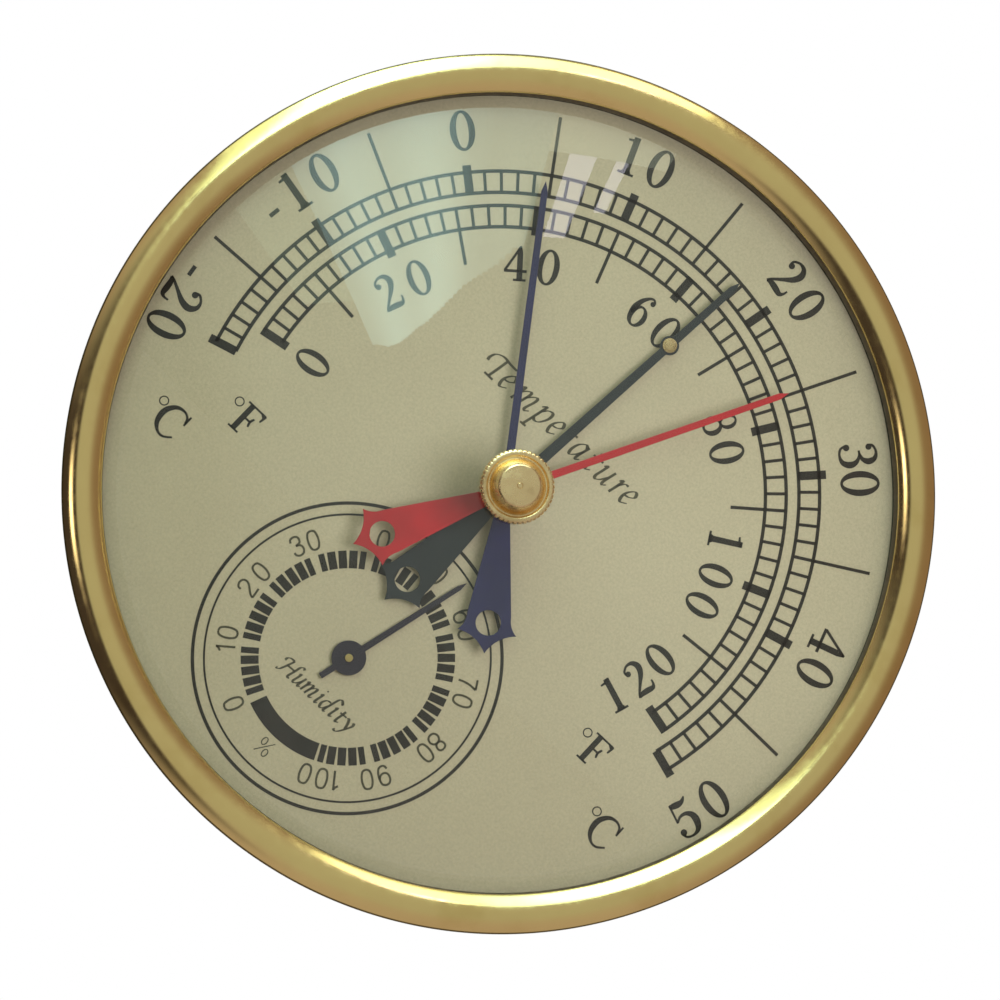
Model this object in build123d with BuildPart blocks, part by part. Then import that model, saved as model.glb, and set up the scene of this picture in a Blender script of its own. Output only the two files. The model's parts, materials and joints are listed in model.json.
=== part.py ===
"""Wall thermometer and hygrometer with minimum and maximum memory pointers.

Millimetres, +Z up. The instrument hangs on a wall: the wall is the plane Y = 0,
the dial faces -Y, and the origin is where the axis of the temperature pointers
meets the wall. Depths are measured forward from the wall, heights forward from
the dial face, and angles clockwise from twelve o'clock as the reader sees them.
"""
import os
from math import cos, radians, sin, sqrt

from build123d import *

# ---------------------------------------------------------------- driving dimensions
OVERALL_DIAMETER = 132.0
DIAL_DEPTH = 17.0            # from the wall to the printed face of the dial
DIAL_THICKNESS = 0.6
DIAL_DIAMETER = 123.6

CASE_OUTER_R = 64.2
CASE_SHEET = 0.8
CASE_BACK_DEPTH = 3.8        # rear face of the case flange

BEAD_R = 63.1                # centre of the bezel bead's rounded section
BEAD_SECTION_R = 3.9
BEAD_CENTRE_H = 1.8          # height of that centre above the dial
BEZEL_SHEET = 0.7
WINDOW_R = 60.1              # clear opening of the bezel

LENS_SPHERE_R = 187.5
LENS_THICKNESS = 1.4
LENS_CROWN_H = 11.8
LENS_RIM_H = 1.94

HYGRO_Z = -34.35             # humidity axis, below the temperature axis

TEMPERATURE_REST = 5.0       # pointer angles at rest
MINIMUM_REST = -35.8
MAXIMUM_REST = 27.4
HUMIDITY_REST = 14.5
RESET_FINGER_REST = 175.8    # half way round between the two memory pointers

BLADE_THICKNESS = 0.25
TEMPERATURE_BLADE_H = 1.5    # heights of the blades' rear faces above the dial
MINIMUM_BLADE_H = 2.5
MAXIMUM_BLADE_H = 3.35
HUMIDITY_BLADE_H = 0.45
DRIVE_PIN_R = 33.5           # distance of the drive pin from the axis

KNOB_R = 5.5
KNOB_BACK_H = 12.6
KNOB_TOP_H = 16.5
KNURL_COUNT = 46
KNOB_RIVET_R = 0.4           # the shaft's riveted end, seen in the knob's crown
KNOB_RIVET_H = 15.4

SPINDLE_R = 0.75
PIVOT_R = 0.5
KNOB_SHAFT_R = 0.9
RUNNING_CLEARANCE = 0.05

KEYHOLE_Z = 34.0
KEYHOLE_HEAD_R = 4.6
KEYHOLE_NECK_R = 2.2
KEYHOLE_TRAVEL = 8.0
BACK_SHEET = 0.8
BACK_DISH_R = 51.0
BACK_RIM_R = 60.5
BACK_SCREW_CIRCLE_R = 58.4

os.makedirs("parts", exist_ok=True)


# ---------------------------------------------------------------- shared helpers
def facing(depth, x=0.0, z=0.0, turn=0.0):
    """A plane parallel to the dial at a depth from the wall, looking at the reader.

    Its own Y direction points at twelve o'clock, or turned clockwise from there.
    """
    across = (cos(radians(turn)), 0, -sin(radians(turn)))
    return Plane(origin=(x, -depth, z), x_dir=across, z_dir=(0, -1, 0))


def height(h):
    """Depth from the wall of a height above the dial face."""
    return DIAL_DEPTH + h


def polar(radius, angle):
    """Point on the dial: radius, and angle clockwise from twelve o'clock."""
    return (radius * sin(radians(angle)), radius * cos(radians(angle)))


def keep(piece, name):
    """Labels a finished sub-part and writes its file."""
    piece.part.label = name
    export_step(piece.part, f"parts/{name}.step")


def disc(radius, back, front, hole=0.0, z=0.0):
    """A plain turned disc or ring between two depths."""
    with BuildPart() as piece:
        with BuildSketch(facing(back, 0, z)):
            Circle(radius)
            if hole:
                Circle(hole, mode=Mode.SUBTRACT)
        extrude(amount=front - back)
    return piece


def turned(steps, hole=0.0, z=0.0):
    """A stepped turned piece: (radius, back, front) for each step, on one bore."""
    with BuildPart() as piece:
        for radius, back, front in steps:
            with BuildSketch(facing(back, 0, z)):
                Circle(radius)
            extrude(amount=front - back)
        if hole:
            first, last = steps[0][1], steps[-1][2]
            with BuildSketch(facing(first, 0, z)):
                Circle(hole)
            extrude(amount=last - first, mode=Mode.SUBTRACT)
    return piece


# ---------------------------------------------------------------- case and cover
def case_shell():
    """Drawn cup: side wall, rear flange for the cover, front flange for the dial."""
    back = CASE_BACK_DEPTH
    front = DIAL_DEPTH - DIAL_THICKNESS
    inner = CASE_OUTER_R - CASE_SHEET
    with BuildPart() as piece:
        with BuildSketch(Plane.XY):
            with BuildLine():
                Polyline(
                    (56.6, -back),
                    (CASE_OUTER_R, -back),
                    (CASE_OUTER_R, -(front - CASE_SHEET)),
                    (65.2, -(front - CASE_SHEET)),
                    (65.2, -front),
                    (60.6, -front),
                    (60.6, -(front - CASE_SHEET)),
                    (inner, -(front - CASE_SHEET)),
                    (inner, -(back + CASE_SHEET)),
                    (56.6, -(back + CASE_SHEET)),
                    close=True,
                )
            make_face()
        revolve(axis=Axis.Y)
        rear_corner = piece.edges().filter_by(GeomType.CIRCLE).group_by(Axis.Y)[-1].sort_by(SortBy.RADIUS)[-1]
        fillet(rear_corner, radius=0.7)
        with BuildSketch(facing(back)):
            with PolarLocations(BACK_SCREW_CIRCLE_R, 3, start_angle=90):
                Circle(1.0)
        extrude(amount=CASE_SHEET, mode=Mode.SUBTRACT)
    return piece


def bezel():
    """Spun ring: rounded bead over the lens rim, skirt crimped behind the case."""
    crest_h = BEAD_CENTRE_H + BEAD_SECTION_R
    inner_section = BEAD_SECTION_R - BEZEL_SHEET
    skirt_r = OVERALL_DIAMETER / 2

    def on_bead(r, section):
        return (r, -height(BEAD_CENTRE_H + sqrt(section ** 2 - (r - BEAD_R) ** 2)))

    lip_r = WINDOW_R + BEZEL_SHEET
    outer_start = on_bead(WINDOW_R, BEAD_SECTION_R)
    outer_end = on_bead(65.7, BEAD_SECTION_R)
    inner_start = on_bead(65.3, inner_section)
    inner_end = on_bead(lip_r, inner_section)
    with BuildPart() as piece:
        with BuildSketch(Plane.XY):
            with BuildLine():
                Line((WINDOW_R, -height(LENS_RIM_H)), outer_start)
                ThreePointArc(outer_start, (BEAD_R, -height(crest_h)), outer_end)
                Polyline(
                    outer_end,
                    (65.88, -height(4.58)),
                    (skirt_r, -height(4.4)),
                    (skirt_r, -height(-2.1)),
                    (64.5, -height(-2.1)),
                    (64.5, -height(-1.4)),
                    (65.3, -height(-1.4)),
                    inner_start,
                )
                ThreePointArc(inner_start, (BEAD_R, -height(crest_h - BEZEL_SHEET)), inner_end)
                Polyline(inner_end, (lip_r, -height(LENS_RIM_H)), (WINDOW_R, -height(LENS_RIM_H)))
            make_face()
        revolve(axis=Axis.Y)
    return piece


def lens():
    """Moulded clear dome with a flat land at the knob and a flat clamping rim."""
    land_r = 4.0
    hole_r = 2.05
    rim_r = 61.8
    outer_c = height(LENS_CROWN_H) - LENS_SPHERE_R
    rise = LENS_SPHERE_R * cos(radians(9.0))
    span = LENS_SPHERE_R * sin(radians(9.0))
    inner_crown = LENS_CROWN_H - LENS_THICKNESS
    with BuildPart() as piece:
        with BuildSketch(Plane.XY):
            with BuildLine():
                Polyline(
                    (hole_r, -height(inner_crown)),
                    (hole_r, -height(LENS_CROWN_H)),
                    (land_r, -height(LENS_CROWN_H)),
                )
                ThreePointArc(
                    (land_r, -height(LENS_CROWN_H)),
                    (span, -(outer_c + rise)),
                    (60.0, -height(LENS_RIM_H)),
                )
                Polyline(
                    (60.0, -height(LENS_RIM_H)),
                    (rim_r, -height(LENS_RIM_H)),
                    (rim_r, -height(0.45)),
                    (60.2, -height(0.45)),
                )
                ThreePointArc(
                    (60.2, -height(0.45)),
                    (span, -(outer_c + rise - LENS_THICKNESS)),
                    (land_r, -height(inner_crown)),
                )
                Line((land_r, -height(inner_crown)), (hole_r, -height(inner_crown)))
            make_face()
        revolve(axis=Axis.Y)
    return piece


def dial_plate():
    """Printed aluminium disc, drilled for the two bearing bushes."""
    with BuildPart() as piece:
        with BuildSketch(facing(DIAL_DEPTH - DIAL_THICKNESS)):
            Circle(DIAL_DIAMETER / 2)
            Circle(2.4, mode=Mode.SUBTRACT)
            with Locations((0, HYGRO_Z)):
                Circle(1.6, mode=Mode.SUBTRACT)
        extrude(amount=DIAL_THICKNESS)
    return piece


def back_cover():
    """Dished pressing: a flat that lies on the wall, with air vents and a keyhole."""
    rim_back = CASE_BACK_DEPTH - BACK_SHEET
    dish_slope_r = BACK_DISH_R + 4.0
    with BuildPart() as piece:
        with BuildSketch(Plane.XY):
            with BuildLine():
                Polyline(
                    (0, 0),
                    (BACK_DISH_R, 0),
                    (dish_slope_r, -rim_back),
                    (BACK_RIM_R, -rim_back),
                    (BACK_RIM_R, -CASE_BACK_DEPTH),
                    (dish_slope_r - 0.4, -CASE_BACK_DEPTH),
                    (BACK_DISH_R - 0.4, -BACK_SHEET),
                    (0, -BACK_SHEET),
                    close=True,
                )
            make_face()
        revolve(axis=Axis.Y)
        with BuildSketch(facing(0)):
            with Locations((0, KEYHOLE_Z)):
                Circle(KEYHOLE_HEAD_R)
            with Locations((0, KEYHOLE_Z + KEYHOLE_TRAVEL / 2)):
                Rectangle(2 * KEYHOLE_NECK_R, KEYHOLE_TRAVEL)
            with Locations((0, KEYHOLE_Z + KEYHOLE_TRAVEL)):
                Circle(KEYHOLE_NECK_R)
            for row_radius, count in ((7.0, 8), (12.0, 14)):
                with Locations((0, HYGRO_Z)):
                    with PolarLocations(row_radius, count):
                        Circle(1.3)
            for side in (-1, 1):
                for step in range(5):
                    with Locations((side * (24 + 3.6 * step), 4)):
                        SlotOverall(16, 1.8, rotation=90)
        extrude(amount=BACK_SHEET, mode=Mode.SUBTRACT)
        with BuildSketch(facing(rim_back)):
            with PolarLocations(BACK_SCREW_CIRCLE_R, 3, start_angle=90):
                Circle(1.3)
        extrude(amount=BACK_SHEET, mode=Mode.SUBTRACT)
    return piece


def back_cover_screws():
    """Three self-tapping screws, heads behind the cover."""
    rim_back = CASE_BACK_DEPTH - BACK_SHEET
    with BuildPart() as piece:
        with BuildSketch(facing(rim_back - 1.2)):
            with PolarLocations(BACK_SCREW_CIRCLE_R, 3, start_angle=90):
                Circle(2.0)
        extrude(amount=1.2)
        with BuildSketch(facing(rim_back)):
            with PolarLocations(BACK_SCREW_CIRCLE_R, 3, start_angle=90):
                Circle(1.0)
        extrude(amount=4.5)
        with BuildSketch(facing(rim_back - 1.2)):
            with PolarLocations(BACK_SCREW_CIRCLE_R, 3, start_angle=90):
                Rectangle(2.4, 0.5)
                Rectangle(0.5, 2.4)
        extrude(amount=0.6, mode=Mode.SUBTRACT)
    return piece


def keyhole_reinforcement():
    """Steel washer plate riveted behind the keyhole so that the sheet can't tear."""
    with BuildPart() as piece:
        with BuildSketch(facing(BACK_SHEET)):
            with Locations((0, KEYHOLE_Z + 3.5)):
                RectangleRounded(20, 22, 4)
            with Locations((0, KEYHOLE_Z)):
                Circle(KEYHOLE_HEAD_R, mode=Mode.SUBTRACT)
            with Locations((0, KEYHOLE_Z + KEYHOLE_TRAVEL / 2)):
                Rectangle(2 * KEYHOLE_NECK_R, KEYHOLE_TRAVEL, mode=Mode.SUBTRACT)
            with Locations((0, KEYHOLE_Z + KEYHOLE_TRAVEL)):
                Circle(KEYHOLE_NECK_R, mode=Mode.SUBTRACT)
        extrude(amount=0.8)
    return piece


# ---------------------------------------------------------------- movements
def bridge(half_span, width, back, thickness, bush_r, z):
    """Rear bearing bridge: a round-ended bar with a bush hole and two screw holes."""
    with BuildPart() as piece:
        with BuildSketch(facing(back, 0, z)):
            SlotOverall(2 * half_span + width, width)
            Circle(width * 0.75)
            Circle(bush_r, mode=Mode.SUBTRACT)
            with Locations((-half_span, 0), (half_span, 0)):
                Circle(0.85, mode=Mode.SUBTRACT)
        extrude(amount=thickness)
    return piece


def pillars(half_span, radius, back, front, z):
    """Two pillars that hold a bridge off the back of the dial, drilled for screws."""
    with BuildPart() as piece:
        with BuildSketch(facing(back, 0, z)):
            with Locations((-half_span, 0), (half_span, 0)):
                Circle(radius)
        extrude(amount=front - back)
        with BuildSketch(facing(back, 0, z)):
            with Locations((-half_span, 0), (half_span, 0)):
                Circle(0.85)
        extrude(amount=4.0, mode=Mode.SUBTRACT)
    return piece


def bridge_screws(half_span, bridge_back, bridge_thickness, z):
    """Two slotted cheese-head screws through the bridge into its pillars."""
    head = 1.0
    with BuildPart() as piece:
        with BuildSketch(facing(bridge_back - head, 0, z)):
            with Locations((-half_span, 0), (half_span, 0)):
                Circle(1.7)
        extrude(amount=head)
        with BuildSketch(facing(bridge_back, 0, z)):
            with Locations((-half_span, 0), (half_span, 0)):
                Circle(0.8)
        extrude(amount=bridge_thickness + 3.4)
        with BuildSketch(facing(bridge_back - head, 0, z)):
            with Locations((-half_span, 0), (half_span, 0)):
                Rectangle(3.6, 0.45)
        extrude(amount=0.5, mode=Mode.SUBTRACT)
    return piece


def coil(inner_r, growth, strip, turns, back, width, z):
    """Flat spiral strip of half-turns about two centres, with a straight outer end."""
    end_r = inner_r + 2 * growth * turns
    with BuildPart() as piece:
        with BuildSketch(facing(back, 0, z)):
            with BuildLine():
                for side in (-strip / 2, strip / 2):
                    for turn in range(turns):
                        r = inner_r + 2 * growth * turn + side
                        ThreePointArc((r, 0), (0, r), (-r, 0))
                        low = r + growth
                        ThreePointArc((-r, 0), (growth, -low), (growth + low, 0))
                    Line((end_r + side, 0), (end_r + side, 3.4))
                Line((inner_r - strip / 2, 0), (inner_r + strip / 2, 0))
                Line((end_r - strip / 2, 3.4), (end_r + strip / 2, 3.4))
            make_face()
        extrude(amount=width)
    return piece


def coil_anchor(end_r, strip, back, front, z):
    """Slotted post that grips the straight outer end of a coil."""
    post_centre = (end_r + 0.75, 2.4)
    with BuildPart() as piece:
        with BuildSketch(facing(back, 0, z)):
            with Locations(post_centre):
                RectangleRounded(2.6, 2.0, 0.3)
            with Locations((end_r, 2.4)):
                Rectangle(strip, 2.0, mode=Mode.SUBTRACT)
        extrude(amount=front - back)
        with BuildSketch(facing(back, 0, z)):
            with Locations(post_centre):
                RectangleRounded(2.6, 2.0, 0.3)
        extrude(amount=1.0)
    return piece


def regulator_arm(end_r, bush_r, back, thickness, z):
    """Calibration lever: turns stiffly on the rear bush and carries the anchor post."""
    with BuildPart() as piece:
        with BuildSketch(facing(back, 0, z)):
            Circle(bush_r + 1.6)
            with Locations((end_r / 2, 1.2)):
                Rectangle(end_r, 2.4)
            with Locations((end_r, 2.0)):
                Circle(2.2)
            with Locations((-(bush_r + 4.0), 0)):
                SlotOverall(8.0, 1.8)
            Circle(bush_r, mode=Mode.SUBTRACT)
        extrude(amount=thickness)
    return piece


# ---------------------------------------------------------------- pointers
def long_pointer(angle, length, root_half, tip_half, rear_h, hub_r, hole_r, eye_r=0.0, offset=0.0):
    """Blade with a pierced spade-shaped counterweight, on a round hub.

    The eye, where there is one, is the ring that the drive pin is riveted in. The
    offset sets the whole blade a little to the reader's left of its hub's centre.
    """
    neck_end, neck_half = 18.8, 3.33
    corner_out, corner_half = 21.5, 4.47
    tail_tip = 24.6
    window_out, window_r = 20.0, 1.9
    plane = facing(height(rear_h), turn=angle)
    with BuildPart() as piece:
        with BuildSketch(plane):
            with Locations((-offset, 0)):
                with BuildSketch(Plane.XY, mode=Mode.PRIVATE) as outline:
                    with BuildLine():
                        Polyline((-root_half, 0), (-tip_half, length - 1.6), (0, length))
                        Polyline((0, length), (tip_half, length - 1.6), (root_half, 0))
                        Line((root_half, 0), (neck_half, -neck_end))
                        ThreePointArc((neck_half, -neck_end), (3.6, -20.3), (corner_half, -corner_out))
                        ThreePointArc((corner_half, -corner_out), (1.9, -22.45), (0, -tail_tip))
                        ThreePointArc((0, -tail_tip), (-1.9, -22.45), (-corner_half, -corner_out))
                        ThreePointArc((-corner_half, -corner_out), (-3.6, -20.3), (-neck_half, -neck_end))
                        Line((-neck_half, -neck_end), (-root_half, 0))
                    make_face()
                add(outline.sketch)
            Circle(hub_r)
            if eye_r:
                with Locations((0, DRIVE_PIN_R)):
                    Circle(eye_r)
                    Circle(0.7, mode=Mode.SUBTRACT)
            Circle(hole_r, mode=Mode.SUBTRACT)
            with Locations((-offset, -window_out)):
                Circle(window_r, mode=Mode.SUBTRACT)
        extrude(amount=BLADE_THICKNESS)
    return piece


def humidity_pointer():
    """Small blade with a round boss and a short straight tail."""
    plane = facing(height(HUMIDITY_BLADE_H), 0, HYGRO_Z, turn=HUMIDITY_REST)
    with BuildPart() as piece:
        with BuildSketch(plane):
            with BuildLine():
                Polyline(
                    (-0.53, 0),
                    (-0.38, 19.6),
                    (0, 20.9),
                    (0.38, 19.6),
                    (0.53, 0),
                    (0.45, -5.0),
                    (-0.45, -5.0),
                    close=True,
                )
            make_face()
            Circle(2.6)
            Circle(0.6, mode=Mode.SUBTRACT)
        extrude(amount=BLADE_THICKNESS)
    return piece


def memory_hub(angle, bore, outer, blade_h, top_h, flange, lug_h):
    """Hub tube of a memory pointer, with the lug that the reset finger pushes."""
    flange_r, flange_h = flange
    plane = facing(height(lug_h), turn=angle)
    with BuildPart() as piece:
        with BuildSketch(facing(height(blade_h))):
            Circle(outer)
        extrude(amount=top_h - blade_h)
        with BuildSketch(facing(height(blade_h + BLADE_THICKNESS))):
            Circle(flange_r)
        extrude(amount=flange_h)
        with BuildSketch(plane):
            with Locations((0, 1.9)):
                Rectangle(0.8, 3.0)
        extrude(amount=top_h - lug_h)
        with BuildSketch(facing(height(blade_h))):
            Circle(bore)
        extrude(amount=top_h - blade_h, mode=Mode.SUBTRACT)
    return piece


def drive_pin():
    """Brass pin riveted in the eye of the temperature pointer, pushing end forward."""
    with BuildPart() as piece:
        blade_rear = TEMPERATURE_BLADE_H
        blade_front = TEMPERATURE_BLADE_H + BLADE_THICKNESS
        steps = (
            (1.1, blade_rear - 0.25, blade_rear),
            (0.7, blade_rear, blade_front),
            (1.13, blade_front, blade_front + 0.25),
            (0.8, blade_front + 0.25, blade_front + 0.4),
        )
        for radius, low, high in steps:
            with BuildSketch(facing(height(low))):
                with Locations(polar(DRIVE_PIN_R, TEMPERATURE_REST)):
                    Circle(radius)
            extrude(amount=high - low)
    return piece


# ---------------------------------------------------------------- reset knob
def reset_knob():
    """Brass knob: knurled flange, groove, tapered boss and flat crown."""
    with BuildPart() as piece:
        with BuildSketch(Plane.XY):
            with BuildLine():
                Polyline(
                    (0, -height(KNOB_BACK_H)),
                    (KNOB_R - 0.3, -height(KNOB_BACK_H)),
                    (KNOB_R, -height(KNOB_BACK_H + 0.3)),
                    (KNOB_R, -height(13.9)),
                    (KNOB_R - 0.3, -height(14.2)),
                    (4.6, -height(14.2)),
                    (4.4, -height(13.75)),
                    (4.15, -height(13.75)),
                    (3.9, -height(14.5)),
                    (3.2, -height(16.2)),
                    (2.97, -height(KNOB_TOP_H)),
                    (0, -height(KNOB_TOP_H)),
                    close=True,
                )
            make_face()
        revolve(axis=Axis.Y)
        with BuildSketch(facing(height(KNOB_BACK_H))):
            with PolarLocations(KNOB_R + 0.12, KNURL_COUNT):
                Rectangle(0.42, 0.42, rotation=45)
        extrude(amount=14.2 - KNOB_BACK_H, mode=Mode.SUBTRACT)
        with BuildSketch(facing(height(KNOB_BACK_H))):
            Circle(KNOB_SHAFT_R)
        extrude(amount=KNOB_RIVET_H - KNOB_BACK_H, mode=Mode.SUBTRACT)
        with BuildSketch(facing(height(KNOB_RIVET_H))):
            Circle(KNOB_RIVET_R)
        extrude(amount=KNOB_TOP_H - KNOB_RIVET_H, mode=Mode.SUBTRACT)
    return piece


def reset_finger():
    """Arm pressed on the knob shaft, bent down so that it pushes the hub lugs."""
    plane_high = facing(height(7.5), turn=RESET_FINGER_REST)
    plane_low = facing(height(5.35), turn=RESET_FINGER_REST)
    with BuildPart() as piece:
        with BuildSketch(facing(height(7.1))):
            Circle(1.8)
        extrude(amount=0.8)
        with BuildSketch(plane_high):
            with Locations((0, 1.75)):
                Rectangle(1.0, 3.5)
        extrude(amount=0.4)
        with BuildSketch(plane_low):
            with Locations((0, 3.15)):
                Rectangle(1.0, 0.7)
        extrude(amount=2.55)
        with BuildSketch(facing(height(7.1))):
            Circle(KNOB_SHAFT_R)
        extrude(amount=0.8, mode=Mode.SUBTRACT)
    return piece


def knob_bush():
    """Bearing of the knob shaft, with a flange outside the lens."""
    return turned([(2.0, height(8.2), height(12.0)), (3.3, height(12.0), height(12.35))],
                  KNOB_SHAFT_R + RUNNING_CLEARANCE)


def knob_bush_nut():
    """Thin hexagon nut that clamps the bush to the lens from inside."""
    with BuildPart() as piece:
        with BuildSketch(facing(height(8.8))):
            RegularPolygon(2.9, 6, major_radius=False)
            Circle(2.0, mode=Mode.SUBTRACT)
        extrude(amount=1.6)
    return piece


# ---------------------------------------------------------------- build the pieces
DIAL_BACK = DIAL_DEPTH - DIAL_THICKNESS

keep(case_shell(), "case_shell")
keep(bezel(), "bezel")
keep(lens(), "lens")
keep(dial_plate(), "dial_plate")
keep(back_cover(), "back_cover")
keep(back_cover_screws(), "back_cover_screws")
keep(keyhole_reinforcement(), "keyhole_plate")
keep(disc(65.2, DIAL_BACK, height(LENS_RIM_H), hole=61.9), "centring_ring")
keep(disc(61.8, DIAL_DEPTH, height(0.45), hole=60.3), "lens_gasket")

# temperature movement
TEMP_SPAN = 15.0
TEMP_BRIDGE_BACK = 5.2
TEMP_COIL = {"inner_r": 2.6, "growth": 0.7, "strip": 0.4, "turns": 5}
TEMP_COIL_END_R = TEMP_COIL["inner_r"] + 2 * TEMP_COIL["growth"] * TEMP_COIL["turns"]
keep(turned([(3.6, DIAL_BACK - 0.8, DIAL_BACK), (2.4, DIAL_BACK, height(0.3))],
            SPINDLE_R + RUNNING_CLEARANCE), "temperature_front_bush")
keep(bridge(TEMP_SPAN, 7.0, TEMP_BRIDGE_BACK, 0.8, 1.6, 0), "temperature_bridge")
keep(disc(1.6, TEMP_BRIDGE_BACK - 0.4, 6.8, hole=PIVOT_R + RUNNING_CLEARANCE), "temperature_rear_bush")
keep(pillars(TEMP_SPAN, 1.9, 6.0, DIAL_BACK, 0), "temperature_pillars")
keep(bridge_screws(TEMP_SPAN, TEMP_BRIDGE_BACK, 0.8, 0), "temperature_bridge_screws")
keep(regulator_arm(TEMP_COIL_END_R, 1.6, 6.0, 0.6, 0), "temperature_regulator")
keep(coil(**TEMP_COIL, back=8.2, width=4.0, z=0), "bimetal_coil")
keep(coil_anchor(TEMP_COIL_END_R, TEMP_COIL["strip"], 6.6, 12.2, 0), "temperature_coil_anchor")

# humidity movement
HYGRO_SPAN = 12.0
HYGRO_BRIDGE_BACK = 7.2
HYGRO_COIL = {"inner_r": 2.2, "growth": 0.5, "strip": 0.3, "turns": 5}
HYGRO_COIL_END_R = HYGRO_COIL["inner_r"] + 2 * HYGRO_COIL["growth"] * HYGRO_COIL["turns"]
keep(turned([(2.8, DIAL_BACK - 0.7, DIAL_BACK), (1.6, DIAL_BACK, height(0.1))],
            0.65, z=HYGRO_Z), "humidity_front_bush")
keep(bridge(HYGRO_SPAN, 6.0, HYGRO_BRIDGE_BACK, 0.8, 1.4, HYGRO_Z), "humidity_bridge")
keep(disc(1.4, HYGRO_BRIDGE_BACK - 0.4, 8.8, hole=0.45, z=HYGRO_Z), "humidity_rear_bush")
keep(pillars(HYGRO_SPAN, 1.7, 8.0, DIAL_BACK, HYGRO_Z), "humidity_pillars")
keep(bridge_screws(HYGRO_SPAN, HYGRO_BRIDGE_BACK, 0.8, HYGRO_Z), "humidity_bridge_screws")
keep(regulator_arm(HYGRO_COIL_END_R, 1.4, 8.0, 0.6, HYGRO_Z), "humidity_regulator")
keep(coil(**HYGRO_COIL, back=10.2, width=3.2, z=HYGRO_Z), "hygroscopic_coil")
keep(coil_anchor(HYGRO_COIL_END_R, HYGRO_COIL["strip"], 8.6, 13.4, HYGRO_Z), "humidity_coil_anchor")

# knob bearing in the lens
keep(knob_bush(), "knob_bush")
keep(disc(3.3, height(LENS_CROWN_H), height(12.0), hole=2.0), "knob_seal_washer")
keep(knob_bush_nut(), "knob_bush_nut")

# temperature pointer body
SPINDLE_TOP_H = 2.05
keep(turned([(PIVOT_R, 4.9, 7.0), (SPINDLE_R, 7.0, height(SPINDLE_TOP_H))]), "temperature_spindle")
keep(disc(2.2, 8.0, 12.4, hole=SPINDLE_R), "temperature_collet")
keep(long_pointer(TEMPERATURE_REST, 48.2, 0.87, 0.55, TEMPERATURE_BLADE_H, 2.6, SPINDLE_R, eye_r=1.48),
     "temperature_pointer")
keep(disc(2.0, height(0.45), height(TEMPERATURE_BLADE_H), hole=SPINDLE_R), "temperature_pointer_hub")
keep(disc(1.6, height(TEMPERATURE_BLADE_H + BLADE_THICKNESS), height(SPINDLE_TOP_H), hole=SPINDLE_R),
     "temperature_pointer_cap")
keep(drive_pin(), "drive_pin")

# memory pointers
MIN_TUBE_R = 1.35
MAX_TUBE_R = 1.95
keep(long_pointer(MINIMUM_REST, 47.2, 0.66, 0.50, MINIMUM_BLADE_H, 2.6, MIN_TUBE_R, offset=0.3),
     "minimum_pointer")
keep(memory_hub(MINIMUM_REST, KNOB_SHAFT_R + RUNNING_CLEARANCE, MIN_TUBE_R, MINIMUM_BLADE_H, 6.7,
                (2.2, 0.3), 6.3), "minimum_pointer_hub")
keep(long_pointer(MAXIMUM_REST, 45.7, 0.62, 0.48, MAXIMUM_BLADE_H, 2.6, MAX_TUBE_R), "maximum_pointer")
keep(memory_hub(MAXIMUM_REST, MIN_TUBE_R + RUNNING_CLEARANCE, MAX_TUBE_R, MAXIMUM_BLADE_H, 5.75,
                (2.3, 0.3), 5.35), "maximum_pointer_hub")

# reset knob body
keep(reset_knob(), "reset_knob")
keep(turned([(KNOB_SHAFT_R, height(2.28), height(KNOB_RIVET_H)),
             (KNOB_RIVET_R, height(KNOB_RIVET_H), height(KNOB_TOP_H))]), "knob_shaft")
keep(reset_finger(), "reset_finger")
keep(disc(1.7, height(6.8), height(7.0), hole=KNOB_SHAFT_R), "friction_washer")
keep(disc(1.9, height(2.3), height(2.42), hole=KNOB_SHAFT_R), "shaft_retaining_ring")

# humidity pointer body
keep(turned([(0.4, 6.9, 9.0), (0.6, 9.0, height(1.1))], z=HYGRO_Z), "humidity_spindle")
keep(disc(1.85, 10.0, 13.6, hole=0.6, z=HYGRO_Z), "humidity_collet")
keep(humidity_pointer(), "humidity_pointer")
keep(disc(1.2, height(0.2), height(HUMIDITY_BLADE_H), hole=0.6, z=HYGRO_Z), "humidity_pointer_hub")
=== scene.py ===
"""Visual model of the wall thermometer and hygrometer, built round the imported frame.

Sizes in this file are millimetres unless a name ends in _M, and MM turns them into
metres. On the dial, X runs to the reader's right and Z to twelve o'clock. Heights are
measured forward from the printed face, and angles clockwise from twelve o'clock.
"""
import json
from math import atan2, cos, hypot, pi, radians, sin, sqrt

import bmesh
import bpy
from mathutils import Matrix, Vector

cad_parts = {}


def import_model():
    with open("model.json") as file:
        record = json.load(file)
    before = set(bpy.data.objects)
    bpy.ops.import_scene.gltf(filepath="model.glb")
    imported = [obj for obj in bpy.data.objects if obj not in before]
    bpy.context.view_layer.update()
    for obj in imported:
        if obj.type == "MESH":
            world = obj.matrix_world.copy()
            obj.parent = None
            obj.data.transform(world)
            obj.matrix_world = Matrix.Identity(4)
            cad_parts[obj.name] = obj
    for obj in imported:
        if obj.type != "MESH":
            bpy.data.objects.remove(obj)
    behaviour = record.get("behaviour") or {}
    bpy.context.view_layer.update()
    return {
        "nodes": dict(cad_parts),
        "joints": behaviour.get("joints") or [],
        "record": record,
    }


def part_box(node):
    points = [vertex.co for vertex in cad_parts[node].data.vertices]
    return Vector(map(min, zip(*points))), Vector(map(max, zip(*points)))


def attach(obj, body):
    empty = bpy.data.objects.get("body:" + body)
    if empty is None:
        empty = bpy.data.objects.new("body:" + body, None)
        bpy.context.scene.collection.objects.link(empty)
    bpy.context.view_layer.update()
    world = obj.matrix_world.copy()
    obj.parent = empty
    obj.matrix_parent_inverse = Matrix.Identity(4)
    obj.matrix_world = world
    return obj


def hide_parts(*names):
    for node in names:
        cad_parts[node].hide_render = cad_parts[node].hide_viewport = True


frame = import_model()

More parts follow.
